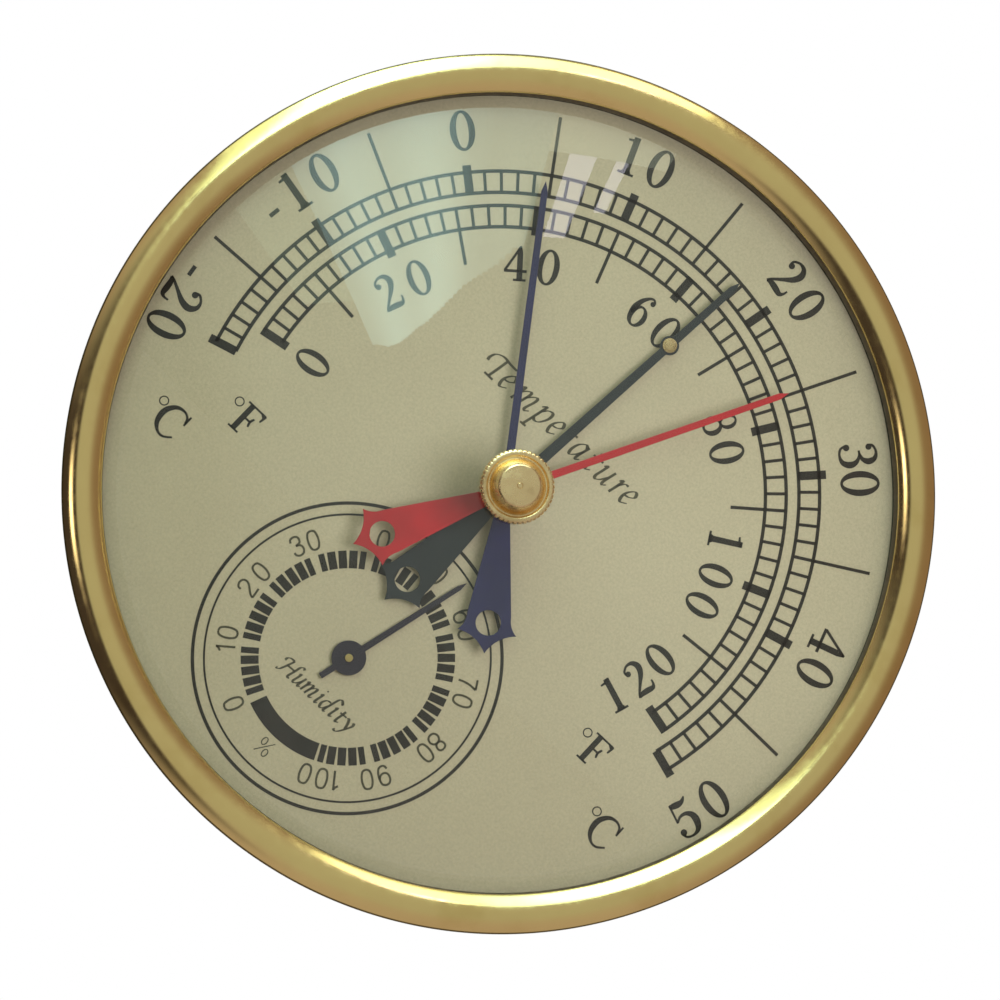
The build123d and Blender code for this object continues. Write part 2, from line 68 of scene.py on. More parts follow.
MM = 0.001

# ------------------------------------------------------------------ sizes from the frame
JOINT_AT = {joint["name"]: joint for joint in frame["joints"]}
DIAL_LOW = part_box("dial_plate")[0]
BEZEL_LOW, BEZEL_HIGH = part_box("bezel")
LENS_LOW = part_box("lens")[0]
DIAL_DEPTH = -DIAL_LOW[1] / MM                      # wall to printed face
OUTER_R = (BEZEL_HIGH[0] - BEZEL_LOW[0]) / 2 / MM
HYGRO_Z = JOINT_AT["humidity_hand_turn"]["pos_m"][2] / MM
LENS_CROWN_H = -LENS_LOW[1] / MM - DIAL_DEPTH

# ------------------------------------------------------------------ printed scales
CELSIUS_MARKS = (             # temperature and its angle, every tenth degree
    (-20, -106.3), (-10, -78.7), (0, -50.1), (10, -19.5),
    (20, 12.0), (30, 43.3), (40, 74.5), (50, 106.2),
)
CELSIUS_OUTER_R = 48.7
CELSIUS_INNER_R = 45.45
FAHRENHEIT_OUTER_R = 43.45
FAHRENHEIT_INNER_R = 40.2
CELSIUS_BAR_OUT_R = 49.8
FAHRENHEIT_BAR_IN_R = 39.2
FAHRENHEIT_BAR_OUT_R = 43.7
LADDER_LINE = 0.54
RUNG_LINE = 0.48
LONG_LINE = 0.50
BAR_WIDTH = 1.32
LONG_TICK_OUT_R = 57.8
LONG_TICK_IN_R = 34.8

HYGRO_RING_R = 23.1
HYGRO_RING_LINE = 0.5
HYGRO_INNER_RING_R = 21.4
HYGRO_INNER_RING_LINE = 0.3
HYGRO_BLOCK_IN_R = 13.35
HYGRO_BLOCK_OUT_R = 16.0
HYGRO_SPAN = 156.0           # angle of 0 and 100 percent either side of twelve o'clock
HYGRO_NUMERAL_R = 18.3

INK_BOTTOM_H = -0.01
INK_TOP_H = 0.035


def world(x, z, height):
    """Point over the dial, in metres, in the part's own frame."""
    return Vector((x * MM, -(DIAL_DEPTH + height) * MM, z * MM))


def polar(radius, angle, centre=(0.0, 0.0)):
    """Dial position at a radius and a clockwise angle."""
    return (centre[0] + radius * sin(radians(angle)), centre[1] + radius * cos(radians(angle)))


def celsius_angle(value):
    """Where a temperature stands on the scale, between its calibrated marks."""
    for (low, low_angle), (high, high_angle) in zip(CELSIUS_MARKS, CELSIUS_MARKS[1:]):
        if value <= high:
            break
    return low_angle + (high_angle - low_angle) * (value - low) / (high - low)


def fahrenheit_angle(value):
    return celsius_angle((value - 32) / 1.8)


def humidity_angle(value):
    return HYGRO_SPAN * (value / 50 - 1)


# ------------------------------------------------------------------ mesh helpers
def add_piece(name, mesh, body, material, replaces=()):
    """Links a mesh object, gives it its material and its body."""
    piece = bpy.data.objects.new(name, mesh)
    bpy.context.scene.collection.objects.link(piece)
    mesh.materials.clear()
    mesh.materials.append(material)
    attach(piece, body)
    if replaces:
        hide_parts(*replaces)
    return piece


def mesh_of(name, bm, sharp=35.0):
    """Finishes a bmesh: outward faces, smooth shading, edges sharp past an angle."""
    bmesh.ops.recalc_face_normals(bm, faces=bm.faces)
    mesh = bpy.data.meshes.new(name)
    bm.to_mesh(mesh)
    bm.free()
    for polygon in mesh.polygons:
        polygon.use_smooth = True
    mesh.set_sharp_from_angle(angle=radians(sharp))
    return mesh


class Ink:
    """Collects flat printed shapes as thin closed slabs on the dial."""

    def __init__(self):
        self.bm = bmesh.new()

    def strip(self, left, right, closed=False):
        """A band between two lines of dial points."""
        bm = self.bm
        rings = []
        for a, b in zip(left, right):
            rings.append([bm.verts.new(world(p[0], p[1], h)) for p, h in
                          ((a, INK_TOP_H), (b, INK_TOP_H), (b, INK_BOTTOM_H), (a, INK_BOTTOM_H))])
        pairs = list(zip(rings, rings[1:]))
        if closed:
            pairs.append((rings[-1], rings[0]))
        for near, far in pairs:
            for k in range(4):
                bm.faces.new((near[k], near[(k + 1) % 4], far[(k + 1) % 4], far[k]))
        if not closed:
            bm.faces.new(rings[0])
            bm.faces.new(rings[-1][::-1])

    def disc(self, x, z, radius, sides=20):
        """A filled dot."""
        bm = self.bm
        around = [polar(radius, 360 * k / sides, (x, z)) for k in range(sides)]
        top = [bm.verts.new(world(*p, INK_TOP_H)) for p in around]
        low = [bm.verts.new(world(*p, INK_BOTTOM_H)) for p in around]
        bm.faces.new(top)
        bm.faces.new(low[::-1])
        for k in range(sides):
            bm.faces.new((top[k], top[(k + 1) % sides], low[(k + 1) % sides], low[k]))

    def arc(self, radius, width, start, end, centre=(0.0, 0.0)):
        """A line or band along a circle."""
        steps = max(2, int(abs(end - start) / 1.5))
        angles = [start + (end - start) * k / steps for k in range(steps + 1)]
        full = abs(end - start) >= 360
        if full:
            angles = angles[:-1]
        self.strip([polar(radius + width / 2, a, centre) for a in angles],
                   [polar(radius - width / 2, a, centre) for a in angles], closed=full)

    def spoke(self, angle, inner, outer, width, centre=(0.0, 0.0)):
        """A straight radial mark of even width."""
        across = (cos(radians(angle)) * width / 2, -sin(radians(angle)) * width / 2)
        ends = [polar(r, angle, centre) for r in (inner, outer)]
        self.strip([(p[0] - across[0], p[1] - across[1]) for p in ends],
                   [(p[0] + across[0], p[1] + across[1]) for p in ends])

    def stroke(self, points, place, per_span=7):
        """A brush line through (x, y, width) points, mapped onto the dial by place."""
        path = smooth_path(points, per_span)
        left, right = [], []
        for k, (x, y, w) in enumerate(path):
            back, ahead = path[max(k - 1, 0)], path[min(k + 1, len(path) - 1)]
            run, rise = ahead[0] - back[0], ahead[1] - back[1]
            length = hypot(run, rise) or 1.0
            dx, dy = -rise / length * w / 2, run / length * w / 2
            left.append(place(x + dx, y + dy))
            right.append(place(x - dx, y - dy))
        self.strip(left, right)

    def ring(self, outer, inner, place, sides=56):
        """A closed band between two upright ellipses: (centre x, centre y, half width, half height)."""
        def around(ellipse):
            cx, cy, a, b = ellipse
            turns = [2 * pi * k / sides for k in range(sides)]
            return [place(cx + a * sin(turn), cy + b * cos(turn)) for turn in turns]
        self.strip(around(outer), around(inner), closed=True)

    def piece(self, name, material):
        """Turns what was collected into one piece."""
        add_piece(name, mesh_of(name, self.bm, 30), "root", material)


def smooth_path(points, per_span):
    """Catmull-Rom curve through the points, every coordinate alike."""
    if len(points) == 2:
        return list(points)
    ends = [points[0], *points, points[-1]]
    path = []
    for a, b, c, d in zip(ends, ends[1:], ends[2:], ends[3:]):
        for step in range(per_span):
            t = step / per_span
            path.append(tuple(
                0.5 * (2 * q + (r - p) * t + (2 * p - 5 * q + 4 * r - s) * t * t
                       + (3 * q - p - 3 * r + s) * t ** 3)
                for p, q, r, s in zip(a, b, c, d)))
    path.append(points[-1])
    return path


def revolved(name, outline, segments):
    """A turned mesh from a closed outline of (radius, height over the dial) points."""
    bm = bmesh.new()
    rings = []
    for k in range(segments):
        angle = 2 * pi * k / segments
        rings.append([bm.verts.new(world(r * sin(angle), r * cos(angle), h)) for r, h in outline])
    for near, far in zip(rings, rings[1:] + rings[:1]):
        for k in range(len(outline)):
            j = (k + 1) % len(outline)
            bm.faces.new((near[k], near[j], far[j], far[k]))
    bmesh.ops.remove_doubles(bm, verts=bm.verts, dist=1e-8)
    return mesh_of(name, bm)


def arc_points(centre, radius, start, end, steps):
    """Points of a section arc, angles from the radial direction towards the reader."""
    turns = [radians(start + (end - start) * k / steps) for k in range(steps + 1)]
    return [(centre[0] + radius * cos(turn), centre[1] + radius * sin(turn)) for turn in turns]


# ------------------------------------------------------------------ numerals and letters
# Book numerals with thick and thin strokes, one unit high on the baseline and centred on
# x = 0. A brush is a list of (x, y, width); a ring is an outer and an inner ellipse; a
# ball is a round end.
GLYPHS = {
    "0": {"rings": [((0, 0.5, 0.31, 0.505), (0, 0.5, 0.165, 0.455))]},
    "1": {"brushes": [
        [(0.01, 0.0, 0.155), (0.01, 0.99, 0.145)],
        [(-0.20, 0.022, 0.044), (0.22, 0.022, 0.044)],
        [(-0.10, 0.045, 0.02), (-0.03, 0.10, 0.10)],
        [(0.12, 0.045, 0.02), (0.05, 0.10, 0.10)],
        [(0.07, 0.985, 0.03), (-0.04, 0.90, 0.05), (-0.20, 0.875, 0.035)]]},
    "2": {"brushes": [
        [(-0.22, 0.75, 0.03), (-0.215, 0.87, 0.045), (-0.07, 0.975, 0.05), (0.10, 0.95, 0.10),
         (0.195, 0.79, 0.15), (0.14, 0.58, 0.13), (-0.03, 0.36, 0.075), (-0.21, 0.14, 0.05),
         (-0.27, 0.02, 0.05)],
        [(-0.27, 0.03, 0.05), (-0.16, 0.075, 0.12), (0.02, 0.07, 0.145), (0.19, 0.055, 0.115),
         (0.265, 0.13, 0.05), (0.285, 0.26, 0.03)]],
        "balls": [(-0.165, 0.76, 0.082)]},
    "3": {"brushes": [
        [(-0.235, 0.79, 0.03), (-0.20, 0.91, 0.045), (-0.04, 0.98, 0.05), (0.12, 0.93, 0.10),
         (0.19, 0.77, 0.14), (0.12, 0.61, 0.09), (-0.02, 0.545, 0.045), (-0.11, 0.535, 0.035)],
        [(-0.11, 0.535, 0.035), (0.03, 0.53, 0.045), (0.18, 0.44, 0.10), (0.24, 0.27, 0.15),
         (0.17, 0.09, 0.11), (0.0, 0.02, 0.05), (-0.18, 0.06, 0.045), (-0.265, 0.22, 0.03)]],
        "balls": [(-0.18, 0.80, 0.08), (-0.205, 0.215, 0.085)]},
    "4": {"brushes": [
        [(0.12, 0.0, 0.145), (0.12, 0.80, 0.14)],
        [(0.135, 0.985, 0.03), (0.12, 0.80, 0.14)],
        [(0.14, 0.975, 0.05), (-0.30, 0.285, 0.055)],
        [(-0.325, 0.275, 0.06), (0.32, 0.275, 0.06)],
        [(-0.06, 0.022, 0.044), (0.30, 0.022, 0.044)]]},
    "5": {"brushes": [
        [(-0.19, 0.97, 0.03), (-0.16, 0.915, 0.12), (0.0, 0.885, 0.145), (0.13, 0.905, 0.09),
         (0.235, 1.0, 0.02)],
        [(-0.195, 0.965, 0.035), (-0.215, 0.47, 0.035)],
        [(-0.215, 0.48, 0.035), (-0.09, 0.585, 0.05), (0.08, 0.59, 0.08), (0.21, 0.48, 0.135),
         (0.24, 0.30, 0.16), (0.17, 0.10, 0.11), (0.0, 0.02, 0.05), (-0.17, 0.06, 0.045),
         (-0.255, 0.20, 0.03)]],
        "balls": [(-0.195, 0.20, 0.085)]},
    "6": {"rings": [((0.015, 0.315, 0.265, 0.315), (0.02, 0.315, 0.135, 0.27))],
          "brushes": [[(-0.185, 0.30, 0.14), (-0.195, 0.50, 0.15), (-0.12, 0.75, 0.11), (0.02, 0.93, 0.06),
                       (0.14, 0.975, 0.045), (0.235, 0.90, 0.03)]],
          "balls": [(0.18, 0.855, 0.075)]},
    "8": {"rings": [((0, 0.755, 0.215, 0.245), (0.005, 0.755, 0.115, 0.205)),
                    ((0, 0.275, 0.27, 0.28), (-0.005, 0.27, 0.145, 0.225))]},
    "-": {"brushes": [[(-0.14, 0.36, 0.085), (0.14, 0.36, 0.085)]]},
    "C": {"brushes": [
        [(0.33, 0.735, 0.04), (0.27, 0.90, 0.05), (0.08, 0.985, 0.055), (-0.16, 0.92, 0.10),
         (-0.33, 0.70, 0.145), (-0.365, 0.46, 0.155), (-0.29, 0.20, 0.12), (-0.09, 0.025, 0.06),
         (0.12, 0.02, 0.05), (0.34, 0.18, 0.04)],
        [(0.345, 1.0, 0.04), (0.345, 0.66, 0.045)]]},
    "F": {"brushes": [
        [(-0.17, 0.02, 0.16), (-0.17, 0.98, 0.16)],
        [(-0.36, 0.022, 0.044), (0.04, 0.022, 0.044)],
        [(-0.36, 0.978, 0.044), (0.36, 0.978, 0.044)],
        [(0.37, 0.99, 0.04), (0.335, 0.83, 0.055), (0.32, 0.72, 0.03)],
        [(0.20, 0.978, 0.04), (0.335, 0.90, 0.07)],
        [(-0.12, 0.52, 0.05), (0.14, 0.52, 0.05)],
        [(0.15, 0.68, 0.04), (0.12, 0.60, 0.06), (0.10, 0.52, 0.05), (0.12, 0.44, 0.06),
         (0.15, 0.36, 0.04)]]},
}

# Pen letters: centre lines of a slanted broad-nib hand. A capital is about one unit high;
# small letters without a stem are about 0.52 of their own unit high.
PEN_LETTERS = {
    "T": [[(-0.09, 0.46), (-0.14, 0.64), (-0.06, 0.88), (0.22, 1.01), (0.60, 0.97), (0.98, 0.96)],
          [(0.45, 0.95), (0.46, 0.50), (0.46, 0.03)], [(0.24, 0.01), (0.70, 0.01)]],
    "H": [[(0.02, 0.63), (0.03, 0.83), (0.20, 0.94), (0.46, 0.94)],
          [(0.46, 0.95), (0.37, 0.52), (0.27, 0.10), (0.15, -0.03), (0.04, 0.0)],
          [(1.22, 0.96), (1.08, 1.03), (0.94, 0.90), (0.92, 0.54), (0.88, 0.10), (0.94, 0.0),
           (1.06, 0.01)],
          [(0.34, 0.50), (0.94, 0.53)]],
    "e": [[(0.06, 0.25), (0.19, 0.28), (0.295, 0.38), (0.245, 0.50), (0.15, 0.50), (0.05, 0.34),
           (0.045, 0.16), (0.13, 0.02), (0.30, 0.11)]],
    "m": [[(0.0, 0.43), (0.08, 0.51), (0.09, 0.3), (0.07, 0.0)],
          [(0.08, 0.28), (0.20, 0.46), (0.31, 0.50), (0.33, 0.36), (0.30, 0.0)],
          [(0.32, 0.28), (0.44, 0.46), (0.55, 0.50), (0.575, 0.36), (0.54, 0.07), (0.60, 0.01),
           (0.68, 0.08)]],
    "p": [[(0.0, 0.43), (0.09, 0.52), (0.09, 0.3), (0.06, -0.29)], [(-0.03, -0.30), (0.17, -0.29)],
          [(0.08, 0.28), (0.20, 0.47), (0.35, 0.49), (0.39, 0.30), (0.30, 0.06), (0.18, 0.0), (0.08, 0.06)]],
    "r": [[(0.0, 0.43), (0.07, 0.51), (0.08, 0.3), (0.06, 0.0)],
          [(0.07, 0.28), (0.17, 0.47), (0.29, 0.49)]],
    "a": [[(0.32, 0.44), (0.21, 0.52), (0.07, 0.38), (0.045, 0.14), (0.115, 0.0), (0.24, 0.12),
           (0.325, 0.32)],
          [(0.34, 0.52), (0.305, 0.12), (0.345, 0.01), (0.42, 0.08)]],
    "t": [[(0.05, 0.65), (0.055, 0.40), (0.05, 0.14), (0.09, 0.01), (0.21, 0.08)],
          [(-0.08, 0.46), (0.27, 0.48)]],
    "u": [[(0.0, 0.43), (0.07, 0.51), (0.07, 0.30), (0.06, 0.08), (0.125, 0.0), (0.23, 0.08),
           (0.33, 0.28)],
          [(0.36, 0.52), (0.335, 0.12), (0.38, 0.01), (0.46, 0.08)]],
    "i": [[(-0.01, 0.43), (0.07, 0.51), (0.06, 0.10), (0.11, 0.01), (0.19, 0.08)],
          [(0.05, 0.73), (0.09, 0.79)]],
    "d": [[(0.25, 0.49), (0.06, 0.44), (-0.02, 0.22), (0.07, 0.02), (0.20, 0.07), (0.27, 0.24)],
          [(0.64, 0.76), (0.48, 0.89), (0.36, 0.82), (0.31, 0.41), (0.28, 0.07), (0.32, 0.0),
           (0.40, 0.03)]],
    "y": [[(-0.07, 0.47), (0.0, 0.51), (0.14, 0.30), (0.24, 0.05)],
          [(0.28, 0.53), (0.35, 0.37), (0.25, 0.04), (0.13, -0.22), (0.02, -0.30), (-0.09, -0.25)]],
}
PEN_ANGLE = 38.0
PEN_SLANT = 0.20
INK_SPREAD = 0.02            # how far print runs past the drawn line, in glyph units


def upright(x, z, size, angle=0.0):
    """Maps glyph units to the dial: baseline centre, height, turned clockwise."""
    c, s = cos(radians(angle)), sin(radians(angle))
    return lambda u, v: (x + size * (u * c + v * s), z + size * (v * c - u * s))


def draw_glyph(ink, character, x, z, size, angle=0.0):
    """One numeral or letter with the middle of its height at a dial position."""
    glyph = GLYPHS[character]
    half = size / 2
    place = upright(x - half * sin(radians(angle)), z - half * cos(radians(angle)), size, angle)
    for (cx, cy, a, b), (ix, iy, ia, ib) in glyph.get("rings", ()):
        grow = INK_SPREAD / 2
        ink.ring((cx, cy, a + grow, b + grow), (ix, iy, ia - grow, ib - grow), place)
    for brush in glyph.get("brushes", ()):
        ink.stroke([(u, v, w + INK_SPREAD) for u, v, w in brush], place)
    for bx, by, radius in glyph.get("balls", ()):
        ink.disc(*place(bx, by), radius * size)


def pen_letter(ink, letter, x, baseline, size, nib, hairline):
    """One letter of the slanted pen hand; nib and hairline set its thick and thin lines."""
    angle = radians(PEN_ANGLE)
    for line in PEN_LETTERS[letter]:
        path = smooth_path(line, 7)
        brush = []
        for k, (u, v) in enumerate(path):
            back, ahead = path[max(k - 1, 0)], path[min(k + 1, len(path) - 1)]
            heading = atan2(ahead[1] - back[1], ahead[0] - back[0])
            brush.append((u + PEN_SLANT * v, v, hypot(nib * sin(heading - angle), hairline) / size))
        ink.stroke(brush, upright(x, baseline, size), per_span=1)


# ------------------------------------------------------------------ materials
NOISE_LOW = 0.3               # nearly all of a noise factor lies between these two
NOISE_HIGH = 0.7
MOTTLE_PER_GRAIN = 12         # how much coarser the mottle is than the grain
WAVE_NODE_RATE = 20           # radians that the wave node runs through in a metre at scale 1
ACRYLIC_IOR = 1.49


def shader(name):
    """A new node material with its Principled node."""
    material = bpy.data.materials.new(name)
    material.use_nodes = True
    return material, material.node_tree, material.node_tree.nodes["Principled BSDF"]


def node(tree, kind, **settings):
    """Adds a node and sets its properties or, by socket name, its values."""
    made = tree.nodes.new(kind)
    for key, value in settings.items():
        if hasattr(made, key):
            setattr(made, key, value)
        else:
            made.inputs[key.replace("_", " ")].default_value = value
    return made


def object_noise(tree, scale, detail, roughness=0.55):
    """Noise in the object's own space; scale is in features per metre."""
    coordinates = node(tree, "ShaderNodeTexCoord")
    noise = node(tree, "ShaderNodeTexNoise", Scale=scale, Detail=detail, Roughness=roughness)
    tree.links.new(coordinates.outputs["Object"], noise.inputs["Vector"])
    return noise.outputs["Fac"]


def ramp(tree, factor, *stops):
    """Colour ramp of (position, colour) stops on a factor."""
    made = node(tree, "ShaderNodeValToRGB")
    elements = made.color_ramp.elements
    while len(elements) < len(stops):
        elements.new(0.5)
    for element, (position, colour) in zip(elements, stops):
        element.position = position
        element.color = (*colour, 1.0)
    tree.links.new(factor, made.inputs["Fac"])
    return made.outputs["Color"]


def spread(tree, factor, low, high):
    """Maps the usual range of a noise factor onto low to high."""
    made = node(tree, "ShaderNodeMapRange")
    for key, value in (("From Min", NOISE_LOW), ("From Max", NOISE_HIGH), ("To Min", low), ("To Max", high)):
        made.inputs[key].default_value = value
    tree.links.new(factor, made.inputs["Value"])
    return made.outputs["Result"]


def bump(tree, principled, factor, distance):
    """Relief from a factor; distance in metres."""
    made = node(tree, "ShaderNodeBump", Strength=1.0, Distance=distance)
    tree.links.new(factor, made.inputs["Height"])
    tree.links.new(made.outputs["Normal"], principled.inputs["Normal"])


def tint(colour, share):
    """A colour made darker or lighter, kept below full white."""
    return tuple(min(1.0, channel * share) for channel in colour)


def painted(name, colour, roughness, variation, grain, relief, metallic=0.0, coat=0.0):
    """Lacquer or print: slightly uneven colour and gloss over fine grain."""
    material, tree, principled = shader(name)
    mottle = object_noise(tree, grain / MOTTLE_PER_GRAIN, 4)
    fine = object_noise(tree, grain, 2)
    colours = ramp(tree, mottle, (NOISE_LOW, tint(colour, 1 - variation)),
                   (NOISE_HIGH, tint(colour, 1 + variation)))
    tree.links.new(colours, principled.inputs["Base Color"])
    tree.links.new(spread(tree, fine, roughness * 0.8, roughness * 1.2), principled.inputs["Roughness"])
    principled.inputs["Metallic"].default_value = metallic
    principled.inputs["Coat Weight"].default_value = coat
    bump(tree, principled, fine, relief)
    return material


def turned_metal(name, colour, dark, roughness, pitch, relief=1.5e-6):
    """Metal turned about the dial's axis: fine rings, faint stains, uneven polish.

    The rings stand 2 pi times pitch apart.
    """
    material, tree, principled = shader(name)
    coordinates = node(tree, "ShaderNodeTexCoord")
    rings = node(tree, "ShaderNodeTexWave", wave_type="RINGS", rings_direction="Y",
                 Scale=1 / (pitch * MM) / WAVE_NODE_RATE, Distortion=0.6, Detail=2.0)
    tree.links.new(coordinates.outputs["Object"], rings.inputs["Vector"])
    stains = object_noise(tree, 90, 5)
    colours = ramp(tree, stains, (0.30, dark), (0.45, colour), (0.85, tint(colour, 1.08)))
    tree.links.new(colours, principled.inputs["Base Color"])
    tree.links.new(spread(tree, object_noise(tree, 700, 3), roughness * 0.75, roughness * 1.3),
                   principled.inputs["Roughness"])
    principled.inputs["Metallic"].default_value = 1.0
    bump(tree, principled, rings.outputs["Fac"], relief)
    return material


def dial_lacquer():
    """Satin champagne lacquer with a metallic fleck and a broad unevenness."""
    material, tree, principled = shader("dial_lacquer")
    broad = object_noise(tree, 28, 3)
    fleck = object_noise(tree, 2600, 3, 0.7)
    base = ramp(tree, broad, (NOISE_LOW, DIAL_DARK), (NOISE_HIGH, DIAL_LIGHT))
    speckle = ramp(tree, fleck, (0.35, (0.90, 0.90, 0.90)), (0.65, (1.06, 1.06, 1.06)))
    blend = node(tree, "ShaderNodeMix", data_type="RGBA", blend_type="MULTIPLY")
    blend.inputs["Factor"].default_value = 1.0
    tree.links.new(base, blend.inputs["A"])
    tree.links.new(speckle, blend.inputs["B"])
    tree.links.new(blend.outputs["Result"], principled.inputs["Base Color"])
    tree.links.new(spread(tree, fleck, 0.42, 0.58), principled.inputs["Roughness"])
    principled.inputs["Metallic"].default_value = 0.25
    bump(tree, principled, fleck, 5e-6)
    return material


def clear_lens():
    """Smooth clear acrylic that casts only a faint shadow."""
    material, tree, principled = shader("clear_acrylic")
    principled.inputs["Base Color"].default_value = (0.985, 0.995, 0.975, 1)
    principled.inputs["Transmission Weight"].default_value = 1.0
    principled.inputs["IOR"].default_value = ACRYLIC_IOR
    principled.inputs["Roughness"].default_value = 0.0
    through = node(tree, "ShaderNodeBsdfTransparent")
    through.inputs["Color"].default_value = (0.93, 0.94, 0.92, 1)
    rays = node(tree, "ShaderNodeLightPath")
    blend = node(tree, "ShaderNodeMixShader")
    tree.links.new(rays.outputs["Is Shadow Ray"], blend.inputs["Fac"])
    tree.links.new(principled.outputs["BSDF"], blend.inputs[1])
    tree.links.new(through.outputs["BSDF"], blend.inputs[2])
    tree.links.new(blend.outputs["Shader"], tree.nodes["Material Output"].inputs["Surface"])
    return material


DIAL_DARK = (0.52, 0.42, 0.265)
DIAL_LIGHT = (0.56, 0.455, 0.29)
INK = (0.010, 0.006, 0.004)
GOLD = (0.95, 0.73, 0.32)
BRASS = (0.95, 0.72, 0.40)

LOOKS = {
    "case_gold": painted("case_gold_lacquer", (0.36, 0.27, 0.10), 0.33, 0.15, 1800, 6e-6,
                         metallic=0.7, coat=0.3),
    "bezel_gold": turned_metal("gold_anodised", GOLD, (0.88, 0.66, 0.27), 0.16, 0.16),
    "clear_lens": clear_lens(),
    "dial_face": dial_lacquer(),
    "cover_steel": painted("cover_grey_lacquer", (0.20, 0.20, 0.19), 0.55, 0.15, 2200, 2e-5),
    "screw_steel": painted("zinc_plate", (0.58, 0.58, 0.55), 0.32, 0.12, 3000, 3e-6, metallic=1.0),
    "dark_plastic": painted("black_plastic", (0.030, 0.026, 0.022), 0.5, 0.2, 2600, 1e-5),
    "gasket_rubber": painted("black_rubber", (0.022, 0.019, 0.016), 0.75, 0.25, 3200, 1.5e-5),
    "turned_brass": turned_metal("turned_brass", (0.66, 0.49, 0.21), (0.36, 0.24, 0.09), 0.32, 0.15),
    "movement_brass": painted("stamped_brass", (0.62, 0.46, 0.20), 0.38, 0.15, 1500, 4e-6, metallic=1.0),
    "bimetal": painted("bimetal_strip", (0.50, 0.43, 0.36), 0.35, 0.2, 1200, 3e-6, metallic=1.0),
    "hygro_strip": painted("coated_strip", (0.46, 0.36, 0.22), 0.5, 0.2, 1400, 5e-6, metallic=0.6),
    "pointer_black": painted("pointer_black_paint", (0.012, 0.014, 0.016), 0.42, 0.3, 1800, 5e-6,
                             coat=0.15),
    "pointer_blue": painted("pointer_blue_paint", (0.012, 0.010, 0.050), 0.42, 0.25, 1800, 5e-6,
                            coat=0.15),
    "pointer_red": painted("pointer_red_paint", (0.40, 0.006, 0.012), 0.42, 0.15, 1800, 5e-6,
                           coat=0.15),
    "pointer_indigo": painted("pointer_indigo_paint", (0.016, 0.011, 0.020), 0.42, 0.25, 1800, 5e-6,
                              coat=0.15),
    "knob_brass": turned_metal("turned_knob_brass", BRASS, (0.50, 0.34, 0.15), 0.26, 0.10, 2.5e-6),
}
SCALE_INK = painted("scale_ink", INK, 0.45, 0.35, 4000, 2e-6)
WORD_INK = painted("word_ink", (0.055, 0.043, 0.020), 0.5, 0.3, 4000, 2e-6)

SLOT_OF = {part["node"]: part["material_slot"] for part in frame["record"]["subparts"]}
BODIES = frame["record"]["behaviour"]["bodies"]
BODY_OF = {name: body for body, names in BODIES.items() for name in names}

for cad_name, cad_node in frame["nodes"].items():
    cad_node.data.materials.clear()
    cad_node.data.materials.append(LOOKS[SLOT_OF[cad_name]])


def stand_in(name, mesh, cad_name):
    """A detailed piece that takes a CAD node's place, body and finish."""
    slot = SLOT_OF[cad_name]
    return add_piece(name, mesh, BODY_OF[cad_name], LOOKS[slot], [cad_name])


BROKEN_EDGE_ANGLE = 30.0      # degrees; an edge that turns by more than this is broken


def rounded(cad_name, width):
    """A CAD node's own shape with its sharp edges broken."""
    bm = bmesh.new()
    bm.from_mesh(frame["nodes"][cad_name].data)
    bmesh.ops.remove_doubles(bm, verts=bm.verts, dist=2e-6)
    bmesh.ops.dissolve_limit(bm, angle_limit=radians(0.2), verts=bm.verts, edges=bm.edges)
    name = cad_name + "_finished"
    piece = stand_in(name, mesh_of(name, bm, BROKEN_EDGE_ANGLE), cad_name)
    edge = piece.modifiers.new("broken_edges", "BEVEL")
    edge.width = width * MM
    edge.segments = 2
    edge.limit_method = "ANGLE"
    edge.angle_limit = radians(BROKEN_EDGE_ANGLE)
    edge.harden_normals = True


# ------------------------------------------------------------------ bezel and lens
BEAD_R = 63.1
BEAD_SECTION_R = 3.9
BEAD_CENTRE_H = 1.8
BEAD_OUTER_R = 65.7           # where the bead turns into the step
BEZEL_SHEET = 0.7
WINDOW_R = 60.1
LIP_R = WINDOW_R + BEZEL_SHEET
SKIRT_BORE_R = 65.3
SKIRT_REAR_H = -2.1
CRIMP_BORE_R = 64.5           # the skirt's rear edge is rolled in to this radius
CRIMP_FRONT_H = -1.4
CRIMP_CORNER = 0.12
LENS_RIM_H = 1.94
LENS_REAR_H = 0.45
LENS_EDGE_R = 61.8
LENS_BORE_R = 2.05
LENS_LAND_R = 4.0             # flat round the bore
LENS_DOME_FRONT_R = 60.0      # where the front and the rear of the dome meet the rim
LENS_DOME_REAR_R = 60.2
LENS_SPHERE_R = 187.5
LENS_THICKNESS = 1.4
INNER_WALL_SHADE_LOOK = 1           # places in the bezel's list of materials
SKIRT_LOOK = 2


def bead_angle(r, section):
    """Where on the bead's round a radius lies, in degrees from the radial direction."""
    return atan2(sqrt(section ** 2 - (r - BEAD_R) ** 2), r - BEAD_R) * 180 / pi


